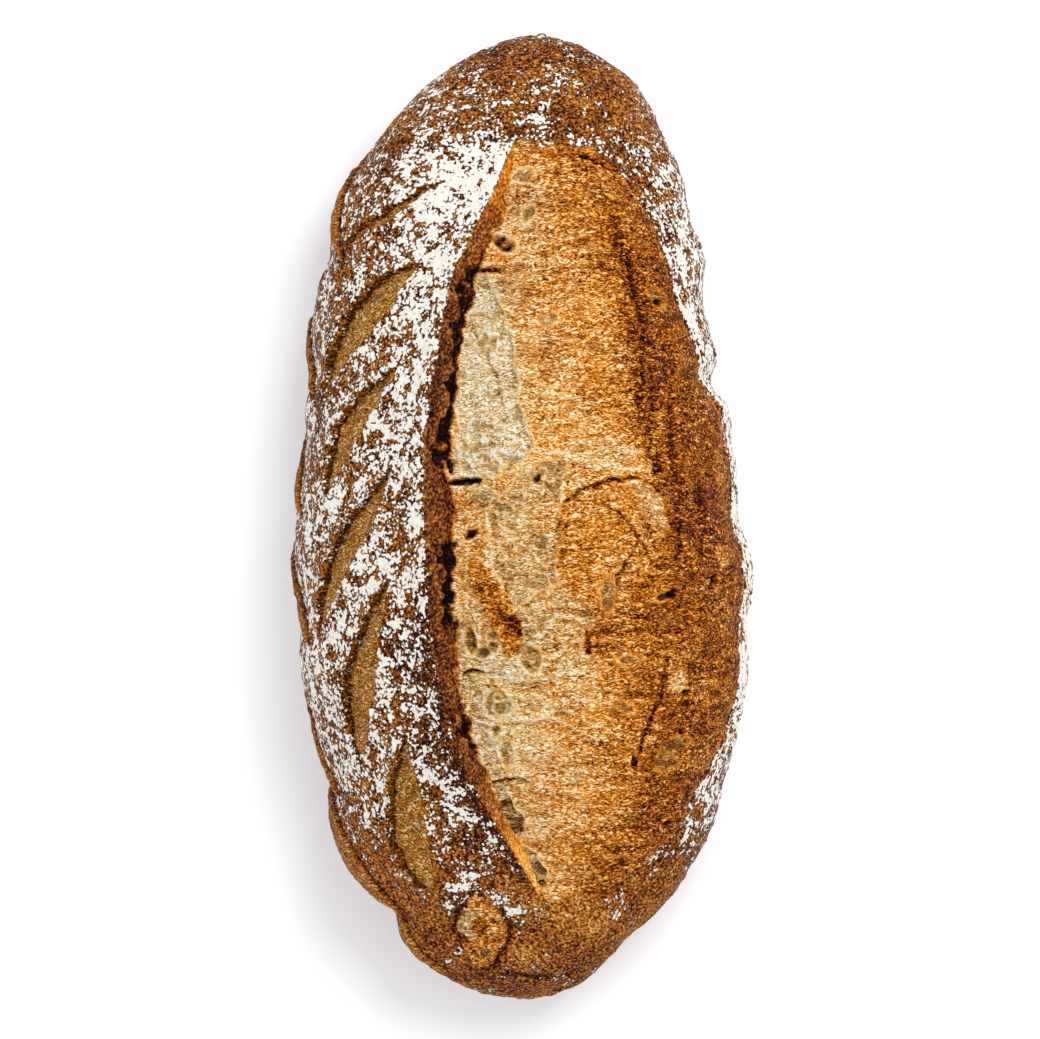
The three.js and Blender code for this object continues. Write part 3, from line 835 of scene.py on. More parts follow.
# Strokes: a path, half width, how light, how pale, how high, how much the ground on its left stands up.
STROKES = [
    ([(-15, 60), (-13.5, 54), (-9, 46), (-6.5, 38), (-5.5, 33)], 0.7, 0.60, 0.9, -0.4, 0.25),
    ([(-9, -22), (-6.5, -27), (-4.6, -31), (-3, -36)], 0.9, 0.24, 0, 0.2, 0),
    ([(-10, -50.5), (-7, -51), (-4.6, -54)], 0.8, 0.42, 0, 0.3, 0.3),
    ([(7, -45.5), (11, -42.5), (15.5, -38), (21, -35)], 0.6, 0.66, 0.3, 0.6, 0.3),
    ([(-1.7, -28.4), (1.6, -25.5), (5.6, -23)], 0.5, 0.62, 0.3, 0.5, 0.3),
    ([(-11, 80), (-8, 78.6), (-4, 77.8), (3, 77.5)], 1.7, 0.50, 0, 0.5, 0),
    ([(-12.6, 74.8), (-9.5, 74.4), (-6.2, 74.6)], 0.9, 0.14, 0.3, -1.0, 0),
    ([(-19, 6.4), (-11.7, 9.3), (-5.7, 12.6), (-1.2, 14.8), (4, 18)], 1.7, 0.60, 0.1, 0.6, 0),
    ([(2, 20), (12, 18.5), (26, 14.5), (38, 14)], 1.0, 0.74, 0.3, 0.5, 0.3),
    ([(13.2, 4.4), (18.4, 7.8), (27.4, 11), (34.9, 11.3)], 0.7, 0.14, 0, -0.9, 0.6),
    ([(23.8, 5), (29.5, 1.1), (34, -4.1), (38, -10)], 0.6, 0.24, 0, -0.6, 0.5),
    ([(31, 11.6), (38.3, 11), (43.8, 5.4), (45.6, -2.6)], 0.45, 0.20, 0, -0.5, 0.3),
    ([(12.6, 2.5), (13.2, -5.6), (12.6, -13.1)], 1.5, 0.33, 0, -0.2, 0),
    ([(35.5, -7), (32.6, -13.1), (29.0, -18.2), (28.9, -26)], 0.5, 0.28, 0.2, -0.6, 0.4),
    ([(20.3, -33.8), (20.6, -40.4)], 0.6, 0.10, 0, -1.0, 0.4),
    ([(44.5, -42.3), (42.4, -56.1), (37.3, -66.4), (36.2, -73)], 0.8, 0.16, 0, -0.7, 0.7),
    ([(35, 33), (36.5, 44), (36.5, 56), (34, 68), (31.5, 79), (28, 90)], 2.6, 0.13, 0, -0.5, 0.6),
    ([(39, 20), (38.5, 30), (40, 42), (41, 54)], 1.6, 0.16, 0, -0.3, 0),
    ([(45.2, 37), (46, 20), (47.9, -1), (47.3, -14)], 1.4, 0.16, 0, -0.5, 0),
    ([(-12.6, 75.6), (-5.7, 76.8), (8.1, 76.4)], 0.5, 0.74, 0.2, 0.7, 0.4),
    ([(-1, 81), (10, 82.6), (20, 85)], 0.5, 0.68, 0.1, 0.5, 0.2),
    ([(-8.5, -80.4), (-1.0, -79.4)], 0.5, 0.10, 0.3, -1.2, 0.6),
    ([(-20.2, 31), (-19.4, 25), (-20.6, 18)], 0.9, 0.52, 0.0, 0.4, 0),
    ([(-17.4, -47.7), (-14, -46.4), (-11.4, -46.8)], 0.45, 0.04, 0, -1.2, 0.3),
    ([(-6.5, -88), (-1, -91.5), (3, -90)], 0.3, 0.75, 0.7, 0.7, 0),
    ([(-1, -101), (4, -103.5), (9, -104)], 0.3, 0.75, 0.7, 0.7, 0),
    ([(-6, -60), (2, -62), (10, -60), (20, -66)], 0.5, 0.76, 0.6, 0.4, 0.2),
    ([(0, -27), (6, -36), (11, -30), (18, -30)], 0.4, 0.78, 0.7, 0.5, -0.3),
    ([(14, -58), (22, -63), (30, -66)], 0.4, 0.70, 0.3, 0.4, 0.2),
    ([(2, -50), (12, -47), (20, -40)], 0.5, 0.72, 0.5, 0.5, 0.3),
]
# Holes: x, y, half length, half width, turn, depth in mm. They are painted nearly black, as the shade
# inside them.
HOLES = [
    (-16.6, 10.4, 4.5, 1.1, 4, 3.2), (-20.7, 15.2, 2.3, 0.7, 100, 2.0),
    (-14.8, -5.4, 1.9, 1.1, 40, 2.0), (-21.4, -8.6, 1.9, 1.0, 10, 2.0),
    (-6.8, 83.6, 1.1, 0.7, 60, 1.4), (-3.8, 81.6, 1.0, 0.5, 20, 1.2), (-5.2, 84.8, 0.7, 0.4, 20, 0.8),
    (58.4, -19.4, 2.0, 0.9, 80, 2.2), (50.0, -53.1, 1.2, 0.8, 0, 1.8), (49, -65.2, 1.0, 0.7, 20, 1.6),
    (44.5, -93.8, 1.6, 0.8, 30, 2.0), (35.0, -74.8, 1.8, 0.8, 110, 1.4),
    (41.8, 65.3, 1.0, 0.8, 0, 1.4), (19.9, 109.7, 1.3, 0.7, -20, 1.4),
    (22.8, 108.2, 0.9, 0.5, -20, 1.0), (25.2, 107.6, 0.9, 0.5, -20, 1.0),
    (20.4, -40.8, 0.9, 0.7, 0, 1.0), (5.0, 11.5, 1.4, 0.6, 40, 1.0), (45.5, -23.5, 1.4, 1.0, 60, 1.0),
]

# %% [markdown]
# ## Pressing the marks in
#
# Each kind of mark changes three things at once: how light the crust is, how pale, and how high it
# stands. A hollow also gets a thin bright rim, which is the skin of its bubble, and its floor is smoother
# than the crust around it. A fold gets a painted highlight on the side that stands up and painted shade
# on the other.

# %% Press in the areas and ovals
RIM_WIDTH = 0.42
RIM_OFFSET = -0.4  # mm, so that a hollow's rim stands just outside it
BURST_PALENESS = 0.45  # an oval at least this pale is a burst bubble
BURST_WRINKLES = 0.6

bloom_relief, burst_rim, hole_shade = np.zeros_like(X), np.zeros_like(X), np.zeros_like(X)
wrinkled = mix(1.0, 0.9, pale) * (1 + 0.25 * wander(points, 9, 99, layers=3))
ragged = 1.1 * wander(points, 6, 77, layers=3)


def tinted(share, lightness, paleness):
    """How light and how pale the crust is once a mark covers share of it."""
    return mix(light, lightness, share), mix(pale, paleness, share)


for outline, lightness, paleness, height in AREAS:
    inside = within(outline) + ragged
    light, pale = tinted(step(-0.5, 0.5, inside), lightness + 0.03 * wobble, paleness)
    bloom_relief += height * step(-0.6, 0.9, inside)
    if height < 0:
        burst_rim = np.maximum(burst_rim, ridge(inside, RIM_OFFSET, RIM_WIDTH))
pale = np.clip(pale + 0.3 * wander(points, 5, 44, layers=3) * step(0.3, 0.9, pale), 0, 1)
for *place, lightness, paleness, height in OVALS:
    inside = oval(*place)
    share = step(-0.9, 0.6, inside)
    light, pale = tinted(share, lightness, paleness)
    bloom_relief += height * share
    if paleness > BURST_PALENESS:
        wrinkled = mix(wrinkled, BURST_WRINKLES, share)
        burst_rim = np.maximum(burst_rim, ridge(inside, RIM_OFFSET - 0.1, RIM_WIDTH))

# %% Press in the strokes and holes
FOLD_LIGHT = 0.16  # how much a fold's two sides differ from the crust around
LIT_REACH, SHADED_REACH, LIFTED_REACH = 1.0, 2.2, 3  # mm

for path, half, lightness, paleness, height, left_up in STROKES:
    gap, side, walked = to_path(path)
    tapered = half * np.sin(math.pi * np.clip(0.12 + 0.8 * walked, 0, 1)) ** 0.6
    share = ridge(gap, 0, tapered)
    light, pale = tinted(share, lightness, paleness)
    lifted = (side > 0) * np.exp(-gap / LIFTED_REACH) * step(0, 0.5, gap)
    bloom_relief += height * share + left_up * lifted
    fading = np.sin(math.pi * np.clip(walked, 0.05, 0.95))
    beside = np.clip(left_up, 0, 1) * step(0, 0.6, gap) * fading
    # Painted highlight on the fold's raised side and painted shade on its low side.
    lit, shaded = np.exp(-gap / LIT_REACH), -np.exp(-gap / SHADED_REACH)
    light += FOLD_LIGHT * beside * np.where(side > 0, lit, shaded)
for *place, depth in HOLES:
    share = step(-0.35, 0.25, oval(*place))
    bloom_relief -= depth * share
    hole_shade = np.maximum(hole_shade, share)
print(f"the bloom has {len(AREAS) + len(OVALS)} patches, {len(STROKES)} strokes and {len(HOLES)} holes")

# %% [markdown]
# ## Wrinkles and cells
#
# The rest of the bloom is left to chance. Its drying skin wrinkles into folds, drawn out across the
# tear, and the pale crumb keeps the walls of its bubbles. A cell here is a crowded bubble whose borders
# are bent by the same wander as the folds. Thin bright threads, the last of the torn skins between
# bubbles, run over the pale part.

# %% Folds, cells and threads
FOLD = 5.0  # mm between the larger folds
CELL, SMALL_CELL = 5.5, 2.3  # mm across a bubble
THREAD_GAP = 9  # mm between threads
twist = np.stack([wander(points, 4, 51, layers=2), wander(points, 4, 52, layers=2), nothing], -1)
folds = wander(points * [0.35, 1.5, 0.6] + 0.6 * twist, FOLD, 54, layers=3)
fold_ridge = np.clip(1 - 3 * np.abs(folds), -1, 1)
_, wall_gap, own = cells(points * [0.8, 1.15, 1] + 2.2 * twist, CELL, 61)
opened = step(0.72, 0.8, own) * step(0.3, 0.7, pale)
burst = opened * step(0.05, 0.2, wall_gap)
_, small_gap, small_own = cells(points + 0.9 * twist, SMALL_CELL, 62)
small_burst = step(0.55, 0.65, small_own) * step(0.08, 0.25, small_gap) * step(0.2, 0.7, pale)
burst_rim = np.maximum(burst_rim * bare, opened * ridge(wall_gap, 0.05, 0.06))

stretched = points * [0.8, 1.4, 1] + 0.8 * twist
thread = ridge(wander(stretched, THREAD_GAP, 63, layers=2), 0, 0.08)
thread *= step(0.05, 0.5, pale) * step(-0.15, 0.25, wander(points, 13, 64)) * (1 - opened)
bloom_relief += 0.25 * thread
bloom_relief += 0.30 * fold_ridge + 0.6 * wander(points, 12, 55, layers=2)
bloom_relief += 0.5 * burst_rim - 0.6 * burst - 0.25 * small_burst
# Painted highlight on the fold ridges and painted shade in the burst hollows.
light += 0.05 * fold_ridge - 0.04 * burst - 0.05 * small_burst
light += 0.14 * burst_rim + 0.10 * thread
wrinkled *= (1 - 0.3 * burst) * (1 - 0.3 * small_burst) * (1 - 0.5 * burst_rim)
pale = np.clip(pale + 0.3 * burst - 0.1 * burst_rim, 0, 1)
print(f"burst bubbles cover {100 * (burst * bare)[bare > 0.5].mean():.0f} % of the bloom")

# %% [markdown]
# ## The lip's charred face
#
# The lip stood up into the hottest air, so its inner face is nearly black, and goldener at both ends
# where it stood less high. Its top edge is scorched. Here and there it has come away from the crumb, and
# that gap is painted black as its shadow, with painted shade along the face's foot beside the crumb.
# One number along the cut says how light it is, and chance makes it crumble.

# %% Char the lip
LIP_LIGHT = [  # y, how light the lip's face is
    (-116, 0.66), (-105, 0.66), (-90, 0.45), (-80, 0.33), (-60, 0.28), (-40, 0.26), (0, 0.24),
    (40, 0.23), (66, 0.21), (75, 0.27), (82, 0.31), (90, 0.35), (97, 0.44), (104, 0.48), (112, 0.50),
]
# Where the lip has come away from the crumb, the gap is painted black as its shadow.
SHADOWED_GAPS = [(60, 14), (30, 13), (-20, 12), (-66, 4)]  # middle y and half length, beside the crumb
GAP_DEPTH = 1.2
lip_light = smooth_line(LIP_LIGHT)(row_y) + 0.06 * wander(points, 7, 96, layers=3)
from_crumb = face_edge - across  # mm
past_near_end = step(-108, -90, Y)
# Painted shade along the foot of the lip's face, beside the crumb.
lip_light -= 0.06 * ridge(from_crumb, 0.9, 1.0) * step(104, 90, Y) * past_near_end
lip_light -= 0.08 * ridge(across, 0.1, 0.5) * past_near_end
gap_shade = np.zeros_like(X)
for middle, half in SHADOWED_GAPS:
    gap_shade = np.maximum(gap_shade, step(half + 4, half - 2, np.abs(Y - middle + 3 * wobble)))
crumbled = from_crumb + 2.0 * wander(points, 3.5, 97, layers=2)
gap_shade *= step(3.2, 1.5, crumbled) * step(-0.6, 0.3, from_crumb)
lip_relief = 0.3 * wander(points, 2.2, 81, layers=3) + 0.6 * wander(points, 7, 82)
lip_relief -= GAP_DEPTH * gap_shade
print(f"the lip's face is {lip_light[lip_face > 0.5].mean():.2f} light")

# %% [markdown]
# ## The skin
#
# The skin was stretched tight and dusted with flour before baking. It carries broad lumps, low blisters
# and a fine pebbling, and it draws into lengthwise creases beside the bloom's right rim. Both sides have
# hollows and bulges from the basket and the leaves, which show in the outline, so those are listed and
# not left to chance. One large blister has torn open near the end of the scores.

# %% List what the skin has of its own
BLISTER = [
    (-13.5, -114.5), (-18, -119.8), (-19.7, -126.6), (-17.6, -132.2), (-14.6, -137.5), (-11.2, -140.2),
    (-8.6, -138.3), (-4.8, -131.5), (-4.1, -126.2), (-5.6, -121.7), (-9.3, -117.6),
]
BLISTER_SPOTS = [  # x, y, half length, half width, turn, how light, how pale
    (-15.4, -125.0, 5.0, 2.9, 75, 0.56, 0.9), (-12.3, -125.5, 2.6, 2.2, 60, 0.30, 0.0),
    (-12.2, -125.8, 1.2, 1.0, 0, 0.22, 0.0), (-17.2, -129.3, 2.0, 0.8, 130, 0.07, 0.0),
    (-7.1, -124.5, 0.9, 0.7, 20, 0.28, 0.3), (-10.1, -134.5, 1.7, 1.2, 60, 0.38, 0.8),
]
LEFT_DENTS = [  # y, how far the left side falls back, in mm
    (-150, 0), (-138, 0.8), (-132, 2.5), (-126, 7.9), (-119, 2.6), (-112, 1.0), (-104, 0.2),
    (-94, -0.9), (-82, 0.4), (-70, 0.2), (-58, 0.4), (-51, -0.5), (-45, -0.6), (-38, 1.0), (-26, 2.3),
    (-12, 1.2), (0, 0.5), (24, 0.2), (36, -0.7), (43, 0.8), (52, -0.4), (61, -0.8), (67, -1.0),
    (74, -0.8), (80, 0.8), (86, 0.0), (98, 0.3), (105, 0.7), (111, 1.0), (117, 0.0), (124, -0.2),
    (130, -0.3), (136, -0.2), (142, 0.6), (147, 0.4), (150, 0),
]
RIGHT_DENTS = [  # the same on the right
    (-150, 0), (-144, -1.2), (-132, 0.4), (-126, -0.4), (-119, -0.8), (-107, -0.6), (-95, -0.9),
    (-83, 1.0), (-75, 0.2), (-63, -1.7), (-51, -2.4), (-32, -1.2), (-14, -2.6), (-2, 0.8), (10, -0.8),
    (18, -1.5), (24, -1.2), (34, -2.0), (42, 2.4), (49, -0.8), (56, 0.2), (67, 1.2), (80, -1.8),
    (92, -0.2), (105, -1.2), (120, 0.6), (130, -0.3), (137, -0.5), (143, 0.3), (150, 0),
]
CREASE = [(-4, -140.5), (4, -142.5), (12, -142), (18, -140)]  # a fold in the skin at the near end

# %% Lumps, blisters and dents
BLISTER_GAP = 4.2  # mm between the small blisters
LEFT_DENT_TURN, RIGHT_DENT_TURN = 0.75, 0.6  # radians, how far up and down a dent reaches
skin_relief = 1.2 * wander(points, 46, 71)
skin_relief += 0.7 * wander(points, 20, 72) + 0.4 * wander(points, 8, 73, layers=2)
blister, _, blister_own = cells(points, BLISTER_GAP, 74)
skin_relief += 0.45 * step(0.45, 0.1, blister) * step(0.55, 0.9, blister_own)
skin_relief += 0.2 * wander(points, 1.8, 75, layers=2)
beside_rim = step(-30, -1, from_rim) * step(2, -1, from_rim) * on_top
skin_relief += 0.6 * lengthwise * beside_rim
dents = smooth_line(LEFT_DENTS)(Y) * ridge(flank_turn, 0, LEFT_DENT_TURN)
dents += smooth_line(RIGHT_DENTS)(Y) * ridge(angle, math.pi, RIGHT_DENT_TURN)

# %% The torn blister and the crease
BLISTER_X, BLISTER_Y, BLISTER_REACH = -12, -127, 8
BLISTER_LEAN = 0.3
torn_inside = within(BLISTER) + 0.8 * wander(points, 4, 78, layers=2)
strands = 1 - 4 * np.abs(wander(points * [1.3, 0.5, 1] + 1.0 * twist, 3.5, 79, layers=3))
torn = step(-0.2, 0.4, torn_inside) * floured * on_top
torn_rim = ridge(torn_inside, -0.5, 1.1) * floured * on_top
off_middle = np.abs(X - BLISTER_X - BLISTER_LEAN * (Y - BLISTER_Y)) / BLISTER_REACH
torn_rim *= step(0.3, 0.6, off_middle)
crease_gap, _, _ = to_path(CREASE)
crease = ridge(crease_gap, 0, 0.7) * on_top

# %% [markdown]
# ## Raising the relief
#
# Now every kind's relief is added up and each point moves out by it. Moving the mesh itself, and not only
# bending its light with a bump, keeps the outline and the shadows true. On the table the relief fades, as
# the base was pressed smooth. How far each point stands up from its surroundings is kept for the colours:
# what stands up gets a painted highlight and the dips get painted shade.

# %% Move the points
BASE_RELIEF = 0.04  # how much of the relief is left on the flat spot
OFF_TABLE = (0.2, 7)  # mm, where the full relief comes in
AROUND = 5  # points either way that count as a point's surroundings
HIGH = 0.5  # mm, what counts as standing up fully


def smoothed(values, reach):
    """values averaged over the neighbours within reach rows and columns."""
    shifts = range(-reach, reach + 1)
    for line in (0, 1):
        values = sum(np.roll(values, shift, axis=line) for shift in shifts) / len(shifts)
    return values


relief = floured * (skin_relief * (1 - 0.6 * torn) - 1.0 * crease) + leaf_relief
relief += bare * mix(bloom_relief, lip_relief, lip_face)
relief += torn * (0.5 + 0.25 * strands) - 0.7 * torn_rim
relief = (relief - dents) * mix(BASE_RELIEF, 1, step(*OFF_TABLE, points[..., 2]))
# How far each point stands up, for a painted highlight on ridges and painted shade in dips.
relief_highlight_and_shade = np.clip((relief - smoothed(relief, round(AROUND * DENSITY))) / HIGH, -1, 1)
points = points + FACING * outward(points) * relief[..., None]
points[..., 2] = np.maximum(points[..., 2], 0)
print(f"the relief runs from {relief.min():.1f} to {relief.max():.1f} mm")

# %% [markdown]
# ## Where the flour lies
#
# Flour clings where the basket pressed it on. These lines say what share of the skin it covers beside
# the lip, low on the left flank, and right of the bloom. It never covers all: the skin stretched as it
# rose, and the dusting broke up into flakes with darker crust between. Bare dough has hardly any. A
# painted mask would do the same work, but a few numbers along each side are easier to move.

# %% List where the flour lies
LIP_COVER = [
    (-150, -0.06), (-135, -0.04), (-118, 0.06), (-107, 0.10), (-85, 0.34), (-62, 0.28), (-45, 0.40),
    (-30, 0.48), (12, 0.42), (35, 0.54), (60, 0.58), (90, 0.68), (106, 0.84), (115, 0.42), (124, 0.16),
    (135, 0.10), (150, 0.05),
]
FLANK_COVER = [
    (-150, -0.05), (-128, 0.0), (-105, 0.06), (-92, 0.32), (-68, 0.50), (-30, 0.48), (-2, 0.34),
    (30, 0.36), (65, 0.32), (100, 0.32), (116, 0.17), (130, 0.22), (150, 0.08),
]
RIGHT_COVER = [
    (-150, -0.10), (-130, -0.06), (-115, -0.04), (-104, 0.11), (-92, 0.35), (-75, 0.50), (-60, 0.58),
    (-10, 0.6), (20, 0.6), (45, 0.56), (80, 0.5), (105, 0.34), (125, 0.12), (150, 0.08),
]
UNDER_COVER = 0.16
FLOUR_PATCHES = [  # x, y, half length, half width, turn, how much more cover
    (-20, -115, 7, 4, 60, 0.3), (-3, -121, 6, 2.2, 125, 0.45), (-29, 112, 10, 5, 30, 0.2),
    (4, 118, 9, 5, 80, 0.2), (22, 132, 10, 6, 140, -0.1),
]
PALER_SKIN = [  # x, y, half length, half width, turn, how much lighter
    (16, -120, 16, 8, -20, 0.13), (3, -131, 10, 5, 0, 0.08), (-30, -117, 9, 6, 120, 0.09),
]

# %% Dust the points
END_COVER = 0.13  # past the bloom's far end
UNDER_TURN = 0.9  # radians past the widest line, where the underside's cover is reached
low_share = step(-4, -44, across)
left_cover = mix(smooth_line(LIP_COVER)(Y), smooth_line(FLANK_COVER)(Y), low_share)
right_cover = smooth_line(RIGHT_COVER)(Y) + 0.5 * lengthwise * beside_rim
past_end = step(110, 122, Y) * step(-6, 16, X) * (across > -20)
cover = np.where(across > 4, right_cover, left_cover)
cover = mix(cover, END_COVER, past_end)
below_widest = np.minimum(angle - math.pi, 2 * math.pi - angle)  # radians past the widest line
cover = mix(cover, UNDER_COVER, step(0, UNDER_TURN, below_widest))
for *place, more in FLOUR_PATCHES:
    cover += more * step(-2.5, 1.5, oval(*place))
cover += 0.21 * wander(points, 11, 91, layers=4)

# %% Clear the lip's crest, the leaves and the blister
left_of_lip = step(0.4, -0.4, across)
clean = step(-5, -1.5, across) * left_of_lip * step(-8, -20, Y) * step(-118, -104, Y)
scorched = step(-22, -8, across) * left_of_lip * step(-20, -45, Y) * step(-118, -90, Y)
bare_floor = np.maximum(leaf_floor, lower_floor)
cover -= 0.24 * clean * step(-0.1, 0.3, wander(points, 6, 92, layers=2))
cover = np.clip(cover, 0, 1) * floured * (1 - torn)
cover *= (1 - 0.97 * bare_floor) * (1 - 0.8 * leaf_edge_toast_and_shade)
print(f"flour is at its thickest on {100 * (cover > 0.5).mean():.0f} % of the net")

# %% [markdown]
# ## How light each point is
#
# One number, from black to white, now brings all the kinds of crust together. The skin is an even brown,
# scorched beside the lip's near half and paler in a few places at the near end. The leaves' floors are
# lighter, and the blister shows torn crumb. The leaves' sharp edges are dark, partly toasted and partly
# painted shade; the creases are painted dark as their shade, and holes and gaps nearly black as the
# shadow inside them. What stands up gets a painted highlight, and the dips painted shade.

# %% Tone the skin
SKIN_LIGHT, LEAF_LIGHT, LOWER_LIGHT, TORN_LIGHT = 0.29, 0.43, 0.38, 0.47
EDGE_LIGHT, HOLE_SHADE_LIGHT = 0.08, 0.02
# Painted shade: below the widest line a lower leaf turns away from the light, so it is darker there.
TURNED_UNDER_SHADE = 0.14  # how much darker a lower leaf is below the widest line
TORN_PALE = 0.1
skin_light = SKIN_LIGHT + 0.09 * wander(points, 14, 95, layers=3)
skin_light += 0.06 * wander(points, 5, 98, layers=2)
skin_light -= 0.20 * clean + 0.13 * scorched * (1 - clean)
for *place, more in PALER_SKIN:
    skin_light += more * step(-4, 3, oval(*place))
light = mix(mix(light, lip_light, lip_face), skin_light, floured)
patchy = wander(points, 6, 93, layers=2)
light = mix(light, LEAF_LIGHT + 0.06 * patchy, leaf_floor)
# Painted shade where a lower leaf turns under.
turned_under_shade = TURNED_UNDER_SHADE * step(0.3, -0.05, flank_turn)
light = mix(light, LOWER_LIGHT + 0.07 * patchy - turned_under_shade, lower_floor)

# %% Tone the blister, the edges and the holes
torn_light = TORN_LIGHT + 0.07 * strands + 0.05 * wander(points, 5, 94, layers=2)
torn_pale = np.full_like(X, TORN_PALE)
for *place, lightness, paleness in BLISTER_SPOTS:
    share = step(-0.6, 0.5, oval(*place))
    torn_light = mix(torn_light, lightness + 0.05 * strands, share)
    torn_pale = mix(torn_pale, paleness, share)
light = mix(light, torn_light, torn)
# Painted shade in the groove round the torn blister and in the crease at the near end.
skin_groove_shade = np.maximum(0.75 * torn_rim, 0.7 * crease * floured)
# Leaf edges are painted dark as toast and shade, and the skin's grooves as their shade.
light = mix(light, EDGE_LIGHT, np.maximum(0.85 * leaf_edge_toast_and_shade, skin_groove_shade))
# Holes in the bloom and gaps beside the lip are painted nearly black, as the shadow inside them.
light = mix(light, HOLE_SHADE_LIGHT, np.maximum(hole_shade * bare, gap_shade * lip_face))
# Painted highlight where the crust stands up and painted shade in its dips.
light += 0.10 * relief_highlight_and_shade * mix(0.6, 1, bare)
pale = pale * bare * (1 - lip_face) + torn_pale * torn
print(f"the crust runs from {light.min():.2f} to {light.max():.2f} light")

# %% Share out the fine detail
LIP_WRINKLES, SKIN_WRINKLES, FLOOR_WRINKLES = 0.6, 0.95, 0.8
outside_wrinkles = mix(SKIN_WRINKLES, FLOOR_WRINKLES, bare_floor)
wrinkled = mix(mix(wrinkled, LIP_WRINKLES, lip_face), outside_wrinkles, floured)
pebbled = mix(lip_face, (1 - bare_floor) * (1 - torn), floured)
charred = lip_face * step(100, 84, Y) * step(-104, -84, Y)  # the lip's ends are gold, not char

# %% [markdown]
# ## One mesh
#
# The net becomes a mesh of quads, closed at each tip by one point. The map unrolls the loaf like a label
# off a tin: round the loaf across, along it up. The fine top takes the larger part of it.

# %% Join the points into faces
# The far tip comes first and the near tip last, with the rows between.
far_tip = np.array([[AXIS_MIDDLE + AXIS_LEAN, LENGTH / 2, TIP_HEIGHT]])
near_tip = np.array([[AXIS_MIDDLE - AXIS_LEAN, -LENGTH / 2, TIP_HEIGHT]])
vertices = np.concatenate([far_tip, points.reshape(-1, 3), near_tip])
outline_low, outline_high = vertices.min(0), vertices.max(0)
cad_middle = (np.array(loaf_low) + np.array(loaf_high)) / 2 / MM
vertices[:, :2] += cad_middle[:2] - (outline_low[:2] + outline_high[:2]) / 2

grid = 1 + np.arange(ROWS * COLUMNS).reshape(ROWS, COLUMNS)
beside = np.roll(grid, -1, axis=1)
quads = np.stack([grid[:-1], beside[:-1], beside[1:], grid[1:]], -1).reshape(-1, 4)
last = ROWS * COLUMNS + 1
far_fan = np.stack([np.zeros(COLUMNS, int), beside[0], grid[0]], -1)
near_fan = np.stack([np.full(COLUMNS, last), grid[-1], beside[-1]], -1)
if FACING > 0:
    quads, far_fan, near_fan = quads[:, ::-1], far_fan[:, ::-1], near_fan[:, ::-1]
print(f"the net closes with {len(quads)} quads and {2 * COLUMNS} triangles")

# %% Unroll the map
TOP_SHARE = 0.78  # of the map's width, for everything above the widest line
TOP_COLUMNS = COLUMNS - UNDER
column_u = np.concatenate([
    np.linspace(0, TOP_SHARE, TOP_COLUMNS, endpoint=False),
    np.linspace(TOP_SHARE, 1, UNDER + 1),
])
row_v = np.linspace(0, 1, ROWS + 2)


def mapped_corners(*corners):
    """Where each face's corners, given as (row, column), lie on the map."""
    places = [np.broadcast_arrays(column_u[column], row_v[row]) for row, column in corners]
    return np.stack([np.stack(place, -1) for place in places], 1)


r, c = (n.reshape(-1) for n in np.indices((ROWS - 1, COLUMNS)))
quad_map = mapped_corners((r + 1, c), (r + 1, c + 1), (r + 2, c + 1), (r + 2, c))
c = np.arange(COLUMNS)
far_map = mapped_corners((0, c), (1, c + 1), (1, c))
near_map = mapped_corners((ROWS + 1, c), (ROWS, c), (ROWS, c + 1))
if FACING > 0:
    quad_map, far_map, near_map = quad_map[:, ::-1], far_map[:, ::-1], near_map[:, ::-1]

# %% Make the mesh
crust_mesh = bpy.data.meshes.new("loaf_crust")
corner_points = np.concatenate([quads.reshape(-1), far_fan.reshape(-1), near_fan.reshape(-1)])
face_sizes = np.concatenate([np.full(len(quads), 4), np.full(2 * COLUMNS, 3)])
crust_mesh.vertices.add(len(vertices))
crust_mesh.vertices.foreach_set("co", (vertices * MM).ravel())
crust_mesh.loops.add(len(corner_points))
crust_mesh.loops.foreach_set("vertex_index", corner_points.astype(np.int32))
crust_mesh.polygons.add(len(face_sizes))
face_starts = np.concatenate([[0], np.cumsum(face_sizes)[:-1]])
crust_mesh.polygons.foreach_set("loop_start", face_starts.astype(np.int32))
crust_mesh.update(calc_edges=True)
crust_mesh.shade_smooth()
unrolled = crust_mesh.uv_layers.new(name="OFBake")
corner_map = np.concatenate([part.reshape(-1, 2) for part in (quad_map, far_map, near_map)])
unrolled.data.foreach_set("uv", corner_map.ravel())

# %% [markdown]
# ## What the points know
#
# What each point learned travels with it as named attributes, which the material reads. The tips take
# the mean of the ring beside them.

# %% Hand each point its kind, tone and cover
knowledge = {
    "light": light, "pale": pale, "floured": floured, "lip_face": charred, "leaf_floor": leaf_floor,
    "torn": torn, "cover": cover, "wrinkled": wrinkled, "pebbled": pebbled,
}
for name, values in knowledge.items():
    attribute = crust_mesh.attributes.new(name, "FLOAT", "POINT")
    told = np.concatenate([[values[0].mean()], values.reshape(-1), [values[-1].mean()]])
    attribute.data.foreach_set("value", told.astype(np.float32))
loaf = bpy.data.objects.new("loaf_crust", crust_mesh)
bpy.context.scene.collection.objects.link(loaf)
print(f"the crust has {len(crust_mesh.vertices)} points and {len(crust_mesh.polygons)} faces")

# %% [markdown]
# ## Baked crust
#
# Crust is starch and sugar browned by heat, and its surface was made by drying: it shrank into wrinkles
# and pebbles. Each kind of crust has its own run of colours from black to white, and how light a point is
# picks the colour. The fine detail is a bump, and it also moves a point along its run: the pebbles as the
# crust's own uneven browning, the wrinkles partly as browning and partly as painted shade in their dark
# lines and painted highlight on their light ones.

